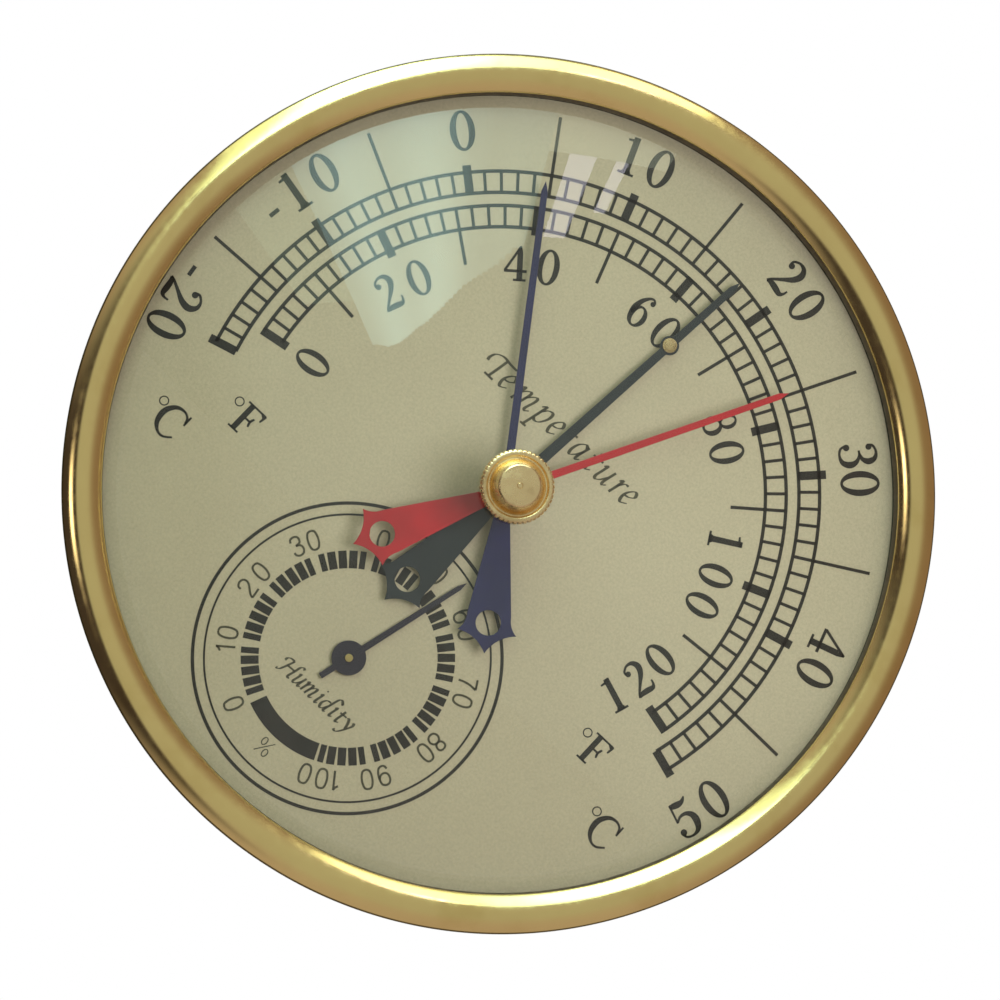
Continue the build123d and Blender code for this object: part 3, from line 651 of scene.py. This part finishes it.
bead_centre = (BEAD_R, BEAD_CENTRE_H)
inner_section = BEAD_SECTION_R - BEZEL_SHEET
wall_h = BEAD_CENTRE_H + sqrt(BEAD_SECTION_R ** 2 - (WINDOW_R - BEAD_R) ** 2)
bezel_outline = [
    (WINDOW_R + 0.08, LENS_RIM_H), (WINDOW_R, LENS_RIM_H + 0.08), (WINDOW_R, wall_h - 0.12),
    (WINDOW_R + 0.03, wall_h - 0.03),
    *arc_points(bead_centre, BEAD_SECTION_R, bead_angle(WINDOW_R + 0.1, BEAD_SECTION_R),
                bead_angle(BEAD_OUTER_R, BEAD_SECTION_R), 56),
    (65.77, 4.65), (65.85, 4.60), (65.92, 4.52), (OUTER_R - 0.03, 4.40),
    (OUTER_R, 4.24), (OUTER_R, SKIRT_REAR_H + 0.25), (OUTER_R - 0.07, SKIRT_REAR_H + 0.07),
    (OUTER_R - 0.25, SKIRT_REAR_H), (CRIMP_BORE_R + CRIMP_CORNER, SKIRT_REAR_H),
    (CRIMP_BORE_R, SKIRT_REAR_H + CRIMP_CORNER), (CRIMP_BORE_R, CRIMP_FRONT_H - CRIMP_CORNER),
    (CRIMP_BORE_R + CRIMP_CORNER, CRIMP_FRONT_H), (SKIRT_BORE_R, CRIMP_FRONT_H),
    *arc_points(bead_centre, inner_section, bead_angle(SKIRT_BORE_R, inner_section),
                bead_angle(LIP_R, inner_section), 24),
    (LIP_R, LENS_RIM_H),
]
bezel_ring = revolved("bezel_ring", bezel_outline, 480)
stand_in("bezel_ring", bezel_ring, "bezel")
# The inner wall under the bead is given a dark brown finish instead of the gold: painted shade for the
# shadowed wall between the bead and the lens.
for look in (painted("bezel_inner_wall_painted_shade", (0.085, 0.055, 0.028), 0.40, 0.2, 2000, 4e-6, metallic=0.6),
             painted("bezel_skirt", (0.17, 0.125, 0.045), 0.36, 0.18, 1800, 5e-6, metallic=0.8)):
    bezel_ring.materials.append(look)
for polygon in bezel_ring.polygons:
    middle = polygon.center
    reach = hypot(middle.x, middle.z) / MM
    lift = -middle.y / MM - DIAL_DEPTH
    # Faces of the wall under the bead's inner edge take the painted shade.
    if reach < WINDOW_R + 0.06 and lift < wall_h:
        polygon.material_index = INNER_WALL_SHADE_LOOK
    elif reach > BEAD_OUTER_R + 0.02:
        polygon.material_index = SKIRT_LOOK


def dome(radius, crown_h, edge_r, edge_h, steps=48):
    """Section points of a lens surface from its flat land out to its edge."""
    radii = [LENS_LAND_R + (edge_r - LENS_LAND_R) * k / steps for k in range(steps + 1)]
    fall = [sqrt(radius ** 2 - LENS_LAND_R ** 2) - sqrt(radius ** 2 - r ** 2) for r in radii]
    return [(r, crown_h - (crown_h - edge_h) * f / fall[-1]) for r, f in zip(radii, fall)]


LENS_INNER_CROWN_H = LENS_CROWN_H - LENS_THICKNESS
lens_outline = [
    (LENS_BORE_R, LENS_INNER_CROWN_H + 0.1), (LENS_BORE_R, LENS_CROWN_H - 0.1),
    (LENS_BORE_R + 0.1, LENS_CROWN_H),
    *dome(LENS_SPHERE_R, LENS_CROWN_H, LENS_DOME_FRONT_R, LENS_RIM_H),
    (LENS_EDGE_R - 0.1, LENS_RIM_H), (LENS_EDGE_R, LENS_RIM_H - 0.1),
    (LENS_EDGE_R, LENS_REAR_H + 0.1), (LENS_EDGE_R - 0.1, LENS_REAR_H),
    *dome(LENS_SPHERE_R - LENS_THICKNESS, LENS_INNER_CROWN_H, LENS_DOME_REAR_R, LENS_REAR_H)[::-1],
    (LENS_BORE_R + 0.1, LENS_INNER_CROWN_H),
]
stand_in("lens_dome", revolved("lens_dome", lens_outline, 360), "lens")


# ------------------------------------------------------------------ reset knob
KNOB_R = 5.5
KNOB_BACK_H = 12.6
KNOB_TOP_H = 16.5
KNURLS = 46
KNURL_STEPS = 12
KNURL_DEPTH = 0.20
KNURL_STEEPNESS = 2.2         # above 1, a flat is left between one groove and the next
KNOB_BORE_R = 0.92
RIVET_R = 0.4
RIVET_H = 15.4

knob_outline = [   # radius, height, share of the knurl's depth
    (KNOB_BORE_R, KNOB_BACK_H, 0), (KNOB_R - 0.42, KNOB_BACK_H, 0),
    (KNOB_R - 0.30, KNOB_BACK_H + 0.02, 0.3), (KNOB_R - 0.08, KNOB_BACK_H + 0.20, 1),
    (KNOB_R, KNOB_BACK_H + 0.34, 1), (KNOB_R, 13.78, 1), (KNOB_R - 0.07, 13.97, 1),
    (KNOB_R - 0.22, 14.13, 0.55), (KNOB_R - 0.40, 14.2, 0), (4.74, 14.2, 0),
    (4.63, 14.17, 0), (4.57, 14.08, 0), (4.47, 13.84, 0), (4.38, 13.76, 0), (4.22, 13.75, 0),
    (4.14, 13.79, 0), (4.08, 13.95, 0), (3.90, 14.5, 0), (3.20, 16.2, 0), (3.09, 16.40, 0),
    (2.99, 16.48, 0), (2.86, KNOB_TOP_H, 0), (RIVET_R + 0.05, KNOB_TOP_H, 0),
    (RIVET_R + 0.01, KNOB_TOP_H - 0.05, 0), (RIVET_R + 0.01, RIVET_H, 0), (KNOB_BORE_R, RIVET_H, 0),
]


def knob_mesh(name):
    """The turned knob outline with V-shaped knurls cut round its flange."""
    bm = bmesh.new()
    rings = []
    count = KNURLS * KNURL_STEPS
    for k in range(count):
        angle = 2 * pi * k / count
        groove = max(0.0, 1 - abs(2 * (k % KNURL_STEPS) / KNURL_STEPS - 1) * KNURL_STEEPNESS)
        ring = []
        for r, h, share in knob_outline:
            cut_r = r - KNURL_DEPTH * share * groove
            ring.append(bm.verts.new(world(cut_r * sin(angle), cut_r * cos(angle), h)))
        rings.append(ring)
    for near, far in zip(rings, rings[1:] + rings[:1]):
        for k in range(len(knob_outline)):
            j = (k + 1) % len(knob_outline)
            bm.faces.new((near[k], near[j], far[j], far[k]))
    return mesh_of(name, bm, 30)


stand_in("knob_turned", knob_mesh("knob_turned"), "reset_knob")


# ------------------------------------------------------------------ pieces with their edges broken
for cad_name, edge_width in (
        ("temperature_pointer", 0.06), ("minimum_pointer", 0.06), ("maximum_pointer", 0.06),
        ("humidity_pointer", 0.06), ("temperature_pointer_hub", 0.08), ("temperature_pointer_cap", 0.08),
        ("minimum_pointer_hub", 0.05), ("maximum_pointer_hub", 0.05), ("humidity_pointer_hub", 0.08),
        ("humidity_spindle", 0.06), ("knob_shaft", 0.08), ("drive_pin", 0.08), ("dial_plate", 0.05),
        ("back_cover_screws", 0.08), ("keyhole_plate", 0.08)):
    rounded(cad_name, edge_width)


# ------------------------------------------------------------------ printed dial
scale = Ink()
scale.arc(CELSIUS_OUTER_R, LADDER_LINE, CELSIUS_MARKS[0][1], CELSIUS_MARKS[-1][1])
scale.arc(CELSIUS_INNER_R, LADDER_LINE, CELSIUS_MARKS[0][1], CELSIUS_MARKS[-1][1])
for value in range(-20, 51):
    angle = celsius_angle(value)
    if value % 10 == 0:
        scale.spoke(angle, CELSIUS_INNER_R - 0.05, CELSIUS_BAR_OUT_R, BAR_WIDTH)
    elif value % 5 == 0:
        scale.spoke(angle, CELSIUS_INNER_R, LONG_TICK_OUT_R, LONG_LINE)
    else:
        scale.spoke(angle, CELSIUS_INNER_R, CELSIUS_OUTER_R, RUNG_LINE)
scale.piece("print_celsius_scale", SCALE_INK)

scale = Ink()
scale.arc(FAHRENHEIT_OUTER_R, LADDER_LINE, fahrenheit_angle(0), fahrenheit_angle(120))
scale.arc(FAHRENHEIT_INNER_R, LADDER_LINE, fahrenheit_angle(0), fahrenheit_angle(120))
for value in range(0, 121, 2):
    if value % 20 == 0:
        scale.spoke(fahrenheit_angle(value), FAHRENHEIT_BAR_IN_R, FAHRENHEIT_BAR_OUT_R, BAR_WIDTH)
    elif value % 20 == 10:
        scale.spoke(fahrenheit_angle(value), LONG_TICK_IN_R, FAHRENHEIT_OUTER_R, LONG_LINE)
    else:
        scale.spoke(fahrenheit_angle(value), FAHRENHEIT_INNER_R, FAHRENHEIT_OUTER_R, RUNG_LINE)
scale.piece("print_fahrenheit_scale", SCALE_INK)

# Numerals stand with their tops outward, except -20, 50 and 120, whose tops point inward.
CELSIUS_NUMERAL = 6.05
CELSIUS_NUMERAL_R = 55.1
CELSIUS_TURNED_R = 56.4
FAHRENHEIT_NUMERAL = 5.4
FAHRENHEIT_NUMERAL_R = 34.75


def draw_number(ink, text, angles, radius, size, tops_out):
    """A number whose characters stand at their own angles round the dial."""
    for character, angle in zip(text, angles):
        draw_glyph(ink, character, *polar(radius, angle), size, angle + (0 if tops_out else 180))


numerals = Ink()
for text, angles in (
        ("-10", (-83.3, -78.7, -73.2)), ("0", (-50.1,)), ("10", (-22.6, -17.4)),
        ("20", (9.5, 14.9)), ("30", (40.4, 45.0)), ("40", (71.4, 76.6))):
    draw_number(numerals, text, angles, CELSIUS_NUMERAL_R, CELSIUS_NUMERAL, True)
for text, angles in (("-20", (-98.6, -102.5, -107.6)), ("50", (107.6, 102.2))):
    draw_number(numerals, text, angles, CELSIUS_TURNED_R, CELSIUS_NUMERAL, False)
numerals.piece("print_celsius_numerals", SCALE_INK)

numerals = Ink()
for text, angles in (
        ("0", (-100.0,)), ("20", (-74.0, -65.5)), ("40", (-40.6, -32.3)),
        ("60", (-6.4, 2.0)), ("80", (28.9, 36.4)), ("100", (58.9, 68.0, 76.2))):
    draw_number(numerals, text, angles, FAHRENHEIT_NUMERAL_R, FAHRENHEIT_NUMERAL, True)
draw_number(numerals, "120", (108.3, 100.9, 93.6), FAHRENHEIT_NUMERAL_R, FAHRENHEIT_NUMERAL, False)
numerals.piece("print_fahrenheit_numerals", SCALE_INK)

letters = Ink()
for letter, size, spots, degree in (
        ("C", 5.05, ((-43.25, -27.0), (46.06, -27.0)), (-2.9, 1.55)),
        ("F", 4.76, ((-35.3, -19.1), (36.8, -19.1)), (-2.75, 1.3))):
    for x, z in spots:
        draw_glyph(letters, letter, x, z, size)
        letters.ring((0, 0, 0.75, 0.75), (0, 0, 0.57, 0.57), upright(x + degree[0], z + degree[1], 1.0))
letters.piece("print_unit_letters", SCALE_INK)

TEMPERATURE_WORD_Z = 10.95
TEMPERATURE_PEN = (0.50, 0.17)          # thick and thin lines
HUMIDITY_WORD_Z = HYGRO_Z - 8.28
HUMIDITY_PEN = (0.42, 0.16)

words = Ink()
pen_letter(words, "T", -15.6, TEMPERATURE_WORD_Z, 3.75, *TEMPERATURE_PEN)
for letter, x in zip("emperature", (-12.3, -9.5, -5.15, -2.25, 0.35, 2.5, 5.95, 7.9, 11.1, 13.0)):
    pen_letter(words, letter, x, TEMPERATURE_WORD_Z, 5.4, *TEMPERATURE_PEN)
pen_letter(words, "H", -7.05, HUMIDITY_WORD_Z, 2.56, *HUMIDITY_PEN)
for letter, x in zip("umidity", (-3.95, -2.3, 0.5, 1.56, 3.43, 4.69, 6.0)):
    pen_letter(words, letter, x, HUMIDITY_WORD_Z, 3.37, *HUMIDITY_PEN)
words.piece("print_words", WORD_INK)

hygro = (0.0, HYGRO_Z)
BLOCK_WIDTHS = (0.91, 1.24, 1.24, 1.24, 0.91)
BLOCK_GAP = 0.33
SOLID_BAND = (155.3, 202.1)             # angles of the band between 100 and 0 percent
block_r = (HYGRO_BLOCK_IN_R + HYGRO_BLOCK_OUT_R) / 2
scale = Ink()
scale.arc(HYGRO_RING_R, HYGRO_RING_LINE, 0, 360, hygro)
scale.arc(HYGRO_INNER_RING_R, HYGRO_INNER_RING_LINE, 0, 360, hygro)
for decade in range(10):
    across = -(sum(BLOCK_WIDTHS) + BLOCK_GAP * (len(BLOCK_WIDTHS) - 1)) / 2
    for width in BLOCK_WIDTHS:
        turn = humidity_angle(decade * 10 + 5) + (across + width / 2) / block_r * 180 / pi
        scale.spoke(turn, HYGRO_BLOCK_IN_R, HYGRO_BLOCK_OUT_R, width, hygro)
        across += width + BLOCK_GAP
scale.arc(block_r, HYGRO_BLOCK_OUT_R - HYGRO_BLOCK_IN_R, *SOLID_BAND, hygro)
scale.piece("print_humidity_scale", SCALE_INK)

# Sans numerals, one unit high: centre lines of an even pen.
SANS = {
    "0": [[(0.0, 1.0), (-0.17, 0.93), (-0.25, 0.72), (-0.27, 0.5), (-0.25, 0.28), (-0.17, 0.07),
           (0.0, 0.0), (0.17, 0.07), (0.25, 0.28), (0.27, 0.5), (0.25, 0.72), (0.17, 0.93), (0.0, 1.0)]],
    "1": [[(0.06, 0.0), (0.06, 1.0)], [(0.06, 0.98), (-0.02, 0.86), (-0.17, 0.77)]],
    "2": [[(-0.26, 0.74), (-0.22, 0.91), (-0.02, 1.0), (0.19, 0.92), (0.25, 0.73), (0.16, 0.53),
           (-0.05, 0.33), (-0.22, 0.15), (-0.28, 0.0)], [(-0.29, 0.0), (0.27, 0.0)]],
    "3": [[(-0.25, 0.77), (-0.19, 0.94), (0.0, 1.0), (0.18, 0.93), (0.23, 0.76), (0.16, 0.60),
           (-0.06, 0.54)],
          [(-0.06, 0.54), (0.17, 0.48), (0.26, 0.29), (0.19, 0.08), (0.0, 0.0), (-0.2, 0.07),
           (-0.27, 0.24)]],
    "4": [[(0.13, 0.0), (0.13, 1.0)], [(0.13, 1.0), (-0.29, 0.27)], [(-0.30, 0.26), (0.30, 0.26)]],
    "5": [[(0.22, 0.98), (-0.18, 0.98)], [(-0.17, 0.98), (-0.23, 0.50)],
          [(-0.23, 0.50), (-0.05, 0.62), (0.16, 0.56), (0.26, 0.33), (0.18, 0.09), (-0.02, 0.0),
           (-0.21, 0.07), (-0.27, 0.23)]],
    "6": [[(0.23, 0.80), (0.15, 0.95), (0.0, 1.0), (-0.17, 0.91), (-0.26, 0.66), (-0.27, 0.35),
           (-0.20, 0.09), (0.0, 0.0), (0.19, 0.08), (0.26, 0.31), (0.19, 0.54), (0.01, 0.62),
           (-0.17, 0.54), (-0.26, 0.36)]],
    "7": [[(-0.26, 0.98), (0.27, 0.98)], [(0.27, 0.98), (0.08, 0.66), (-0.04, 0.32), (-0.09, 0.0)]],
    "8": [[(0.0, 1.0), (-0.17, 0.93), (-0.22, 0.77), (-0.15, 0.60), (0.0, 0.55), (0.15, 0.60),
           (0.22, 0.77), (0.17, 0.93), (0.0, 1.0)],
          [(0.0, 0.55), (-0.18, 0.48), (-0.27, 0.28), (-0.19, 0.07), (0.0, 0.0), (0.19, 0.07),
           (0.27, 0.28), (0.18, 0.48), (0.0, 0.55)]],
    "9": [[(-0.23, 0.20), (-0.15, 0.05), (0.0, 0.0), (0.17, 0.09), (0.26, 0.34), (0.27, 0.65),
           (0.20, 0.91), (0.0, 1.0), (-0.19, 0.92), (-0.26, 0.69), (-0.19, 0.46), (-0.01, 0.38),
           (0.17, 0.46), (0.26, 0.64)]],
}
SANS_LINE = 0.115
SANS_NUMERAL = 2.9

numerals = Ink()
for text, angles in (
        ("0", (-154.9,)), ("10", (-128.5, -121.4)), ("20", (-98.5, -88.9)), ("30", (-68.2, -60.2)),
        ("40", (-35.4, -26.9)), ("50", (-4.2, 4.2)), ("60", (26.9, 35.4)), ("70", (58.8, 67.5)),
        ("80", (90.2, 97.5)), ("90", (119.7, 127.8)), ("100", (142.7, 149.1, 157.3))):
    for character, angle in zip(text, angles):
        x, z = polar(HYGRO_NUMERAL_R - SANS_NUMERAL / 2, angle, hygro)
        for line in SANS[character]:
            numerals.stroke([(u, v, SANS_LINE) for u, v in line], upright(x, z, SANS_NUMERAL, angle))
numerals.piece("print_humidity_numerals", WORD_INK)

PERCENT_SIZE = 2.7
PERCENT_DROP = 18.06                    # its middle under the small dial's centre

percent = Ink()
place = upright(0.0, HYGRO_Z - PERCENT_DROP - PERCENT_SIZE / 2, PERCENT_SIZE)
percent.stroke([(-0.36, 0.0, 0.06), (0.34, 1.0, 0.06)], place)
for x, y in ((-0.22, 0.74), (0.22, 0.26)):
    percent.ring((x, y, 0.175, 0.25), (x, y, 0.105, 0.19), place)
percent.piece("print_percent_sign", WORD_INK)


# ------------------------------------------------------------------ camera
DIAL_CENTRE = world(0, 0, 0)
camera_data = bpy.data.cameras.new("photo_camera")
camera_data.lens = 90
camera_data.sensor_width = 36
camera_data.clip_start = 0.01
camera_data.clip_end = 20
camera = bpy.data.objects.new("photo_camera", camera_data)
bpy.context.scene.collection.objects.link(camera)
bpy.context.scene.camera = camera

CAMERA_OFFSET = Vector((-23.43, -374.3, -50.54)) * MM
AIM_OFFSET = Vector((0.35, 0.0, -1.41)) * MM
VIEW_RIGHT = Vector((0.7278, 0.0, 0.6858))      # the view is rolled, so these two are slanted
VIEW_UP = Vector((-0.6858, 0.0, 0.7278))
OUTWARD = Vector((0, -1, 0))

camera.location = DIAL_CENTRE + CAMERA_OFFSET
camera_back = (CAMERA_OFFSET - AIM_OFFSET).normalized()
camera_right = VIEW_UP.cross(camera_back).normalized()
camera_up = camera_back.cross(camera_right)
camera.rotation_mode = "QUATERNION"
camera_axes = Matrix((camera_right, camera_up, camera_back)).transposed()
camera.rotation_quaternion = camera_axes.to_quaternion()


# ------------------------------------------------------------------ floor, room and lamps
def soft_lamp(name, sideways, upward, distance, size, power, colour):
    """A square soft panel aimed at the dial, unseen in gloss and through the lens.

    Its direction is given as slopes in the view's frame.
    """
    direction = (OUTWARD + sideways * camera_right + upward * camera_up).normalized()
    data = bpy.data.lights.new(name, "AREA")
    data.shape = "RECTANGLE"
    data.size = size
    data.size_y = size
    data.energy = power
    data.color = colour
    lamp = bpy.data.objects.new(name, data)
    bpy.context.scene.collection.objects.link(lamp)
    lamp.location = DIAL_CENTRE + direction * distance
    lamp.rotation_mode = "QUATERNION"
    lamp.rotation_quaternion = direction.to_track_quat("Z", "Y")
    lamp.visible_glossy = False
    lamp.visible_transmission = False
    lamp.visible_camera = False


FLOOR_Z_M = -0.3


def floor_piece():
    """A wide pale floor well under the object, gently uneven in tone."""
    bm = bmesh.new()
    corners = ((-2, -1.5), (2, -1.5), (2, 0.9), (-2, 0.9))
    bm.faces.new([bm.verts.new((x, y, FLOOR_Z_M)) for x, y in corners])
    bmesh.ops.subdivide_edges(bm, edges=bm.edges, cuts=8, use_grid_fill=True)
    mesh = bpy.data.meshes.new("floor")
    bm.to_mesh(mesh)
    bm.free()
    floor = bpy.data.objects.new("floor", mesh)
    bpy.context.scene.collection.objects.link(floor)
    mesh.materials.append(painted("pale_floor", (0.80, 0.80, 0.78), 0.8, 0.03, 300, 1e-5))
    floor.visible_glossy = False


def math_node(tree, operation, first, second):
    """A maths node on sockets or plain numbers; gives its result socket."""
    made = node(tree, "ShaderNodeMath", operation=operation)
    for index, value in enumerate((first, second)):
        if isinstance(value, (int, float)):
            made.inputs[index].default_value = value
        else:
            tree.links.new(value, made.inputs[index])
    return made.outputs[0]


def soft_step(tree, value, low, high):
    """0 below low, 1 above high (or the other way round), smooth between."""
    made = node(tree, "ShaderNodeMapRange", interpolation_type="SMOOTHSTEP")
    made.inputs["From Min"].default_value = min(low, high)
    made.inputs["From Max"].default_value = max(low, high)
    made.inputs["To Min"].default_value = 0.0 if low < high else 1.0
    made.inputs["To Max"].default_value = 1.0 if low < high else 0.0
    tree.links.new(value, made.inputs["Value"])
    return made.outputs["Result"]


def between(tree, value, low, high, soft):
    """A soft-edged band of a value."""
    return math_node(tree, "MULTIPLY", soft_step(tree, value, low - soft, low + soft),
                     soft_step(tree, value, high + soft, high - soft))


def layer(tree, below, colour, mask):
    """Lays a colour over what is below where the mask is one."""
    made = node(tree, "ShaderNodeMix", data_type="RGBA", clamp_factor=True)
    made.clamp_result = False
    tree.links.new(mask, made.inputs["Factor"])
    tree.links.new(below, made.inputs["A"])
    made.inputs["B"].default_value = (*colour, 1.0)
    return made.outputs["Result"]


ROOM_FRONT = (0.42, 0.43, 0.37)
ROOM_SIDE = (0.36, 0.29, 0.25)
ROOM_BELOW = (0.43, 0.37, 0.34)
ROOM_RIGHT_SIDE = (0.21, 0.14, 0.1)
ROOM_DARK = (0.05, 0.04, 0.04)
ROOM_BEHIND = (0.09, 0.09, 0.05)
LAMP_LIGHT = (3.5, 3.2, 2.8)


def room():
    """White behind the object for the camera; for its light, a softly shaded room.

    Directions are taken along the view's right and up and the dial's normal: a dark
    doorway with one small lamp stands at the left of the picture.
    """
    made = bpy.data.worlds.new("room")
    bpy.context.scene.world = made
    made.use_nodes = True
    tree = made.node_tree
    background = tree.nodes["Background"]
    rays = node(tree, "ShaderNodeLightPath")
    coordinates = node(tree, "ShaderNodeTexCoord")

    def along(axis):
        dot = node(tree, "ShaderNodeVectorMath", operation="DOT_PRODUCT")
        dot.inputs[1].default_value = axis
        tree.links.new(coordinates.outputs["Generated"], dot.inputs[0])
        return dot.outputs["Value"]

    def both(first, second):
        return math_node(tree, "MULTIPLY", first, second)

    right, up, out = along(VIEW_RIGHT), along(VIEW_UP), along(OUTWARD)

    light = ramp(tree, soft_step(tree, out, -0.3, 1.0), (0.0, ROOM_SIDE), (1.0, ROOM_FRONT))
    light = layer(tree, light, ROOM_BELOW, both(soft_step(tree, up, -0.2, -0.9), 0.8))
    light = layer(tree, light, ROOM_RIGHT_SIDE, both(soft_step(tree, right, 0.35, 0.9), 0.8))
    doorway = both(soft_step(tree, right, -0.30, -0.48), between(tree, up, -0.62, 0.42, 0.22))
    light = layer(tree, light, ROOM_DARK, doorway)
    lamp = both(between(tree, out, 0.60, 0.76, 0.05), between(tree, up, -0.07, 0.09, 0.05))
    lamp = both(lamp, soft_step(tree, right, -0.55, -0.62))
    light = layer(tree, light, LAMP_LIGHT, lamp)
    corner = math_node(tree, "SUBTRACT", up, right)
    behind = both(soft_step(tree, out, -0.35, -0.75), soft_step(tree, corner, -0.5, 0.2))
    light = layer(tree, light, ROOM_BEHIND, behind)

    white = node(tree, "ShaderNodeMix", data_type="RGBA")
    white.inputs["B"].default_value = (1, 1, 1, 1)
    tree.links.new(rays.outputs["Is Camera Ray"], white.inputs["Factor"])
    tree.links.new(light, white.inputs["A"])
    tree.links.new(white.outputs["Result"], background.inputs["Color"])


# The window stands square over the picture's top edge, this high above the dial's centre.
# Places in it are slopes from that centre: across to the picture's right, or forward.
WINDOW_HEIGHT_M = 0.8
WINDOW_PANES = (      # name, across from and to, forward from and to, radiance
    ("window_left", -0.66, -0.42, 0.0, 2.1, (0.7, 1.0, 0.7)),
    ("window_right", 0.30, 0.66, 0.0, 1.0, (1.8, 2.0, 1.5)),
    ("curtain_gap_wide", 0.36, 0.44, 1.0, 1.5, (4.2, 4.0, 4.8)),
    ("curtain_gap_narrow", 0.50, 0.54, 1.0, 1.3, (4.2, 4.0, 4.8)),
)
CURTAIN_FOLDS = (     # brightness and how far forward each reaches, from left to right
    (0.6, 2.75), (0.85, 2.8), (1.1, 2.74), (1.0, 2.64), (0.85, 2.5), (1.0, 2.4),
    (1.1, 2.25), (0.9, 2.1), (0.55, 1.95), (0.4, 1.85), (0.4, 1.75), (0.35, 1.6),
)
CURTAIN_FROM = -0.42
FOLD_WIDTH = 0.06
FOLD_STRIPS = 3       # each fold is laid out as this many narrower strips
STRIP_WIDTH = FOLD_WIDTH / FOLD_STRIPS
CURTAIN_LIGHT = (3.0, 4.7, 4.3)


def curtain_at(place):
    """Brightness and reach of the curtain at a place counted in folds, blended between them."""
    place = min(max(place, 0.0), len(CURTAIN_FOLDS) - 1.001)    # short of the last, which has no next
    before = int(place)
    share = place - before
    return [a + (b - a) * share for a, b in zip(CURTAIN_FOLDS[before], CURTAIN_FOLDS[before + 1])]


def window_pane(name, left, right, near, far, radiance):
    """One pane of the window: seen only as a reflection, and lighting nothing else."""
    peak = max(radiance)
    width, depth = (right - left) * WINDOW_HEIGHT_M, (far - near) * WINDOW_HEIGHT_M
    data = bpy.data.lights.new(name, "AREA")
    data.shape = "RECTANGLE"
    data.size = width
    data.size_y = depth
    data.energy = pi * width * depth * peak
    data.color = [channel / peak for channel in radiance]
    pane = bpy.data.objects.new(name, data)
    bpy.context.scene.collection.objects.link(pane)
    pane.location = DIAL_CENTRE + WINDOW_HEIGHT_M * (
        (left + right) / 2 * VIEW_RIGHT + VIEW_UP + (near + far) / 2 * OUTWARD)
    pane.rotation_mode = "QUATERNION"
    pane.rotation_quaternion = Matrix((VIEW_RIGHT, -OUTWARD, VIEW_UP)).transposed().to_quaternion()
    pane.visible_camera = False
    pane.visible_diffuse = False
    pane.visible_transmission = False


bpy.context.scene.view_settings.view_transform = "Standard"
floor_piece()
room()
for pane in WINDOW_PANES:
    window_pane(*pane)
for k in range(len(CURTAIN_FOLDS) * FOLD_STRIPS):
    strength, reach = curtain_at((k + 0.5) / FOLD_STRIPS - 0.5)
    strip_left = CURTAIN_FROM + k * STRIP_WIDTH
    strip_light = [channel * strength for channel in CURTAIN_LIGHT]
    window_pane(f"curtain_strip_{k + 1}", strip_left, strip_left + STRIP_WIDTH, 0.0, reach, strip_light)
soft_lamp("key", 0.34, 0.08, 0.60, 0.26, 0.60, (1.0, 0.96, 0.95))
soft_lamp("fill", 0.40, -0.06, 0.14, 0.07, 0.20, (0.74, 0.80, 0.97))
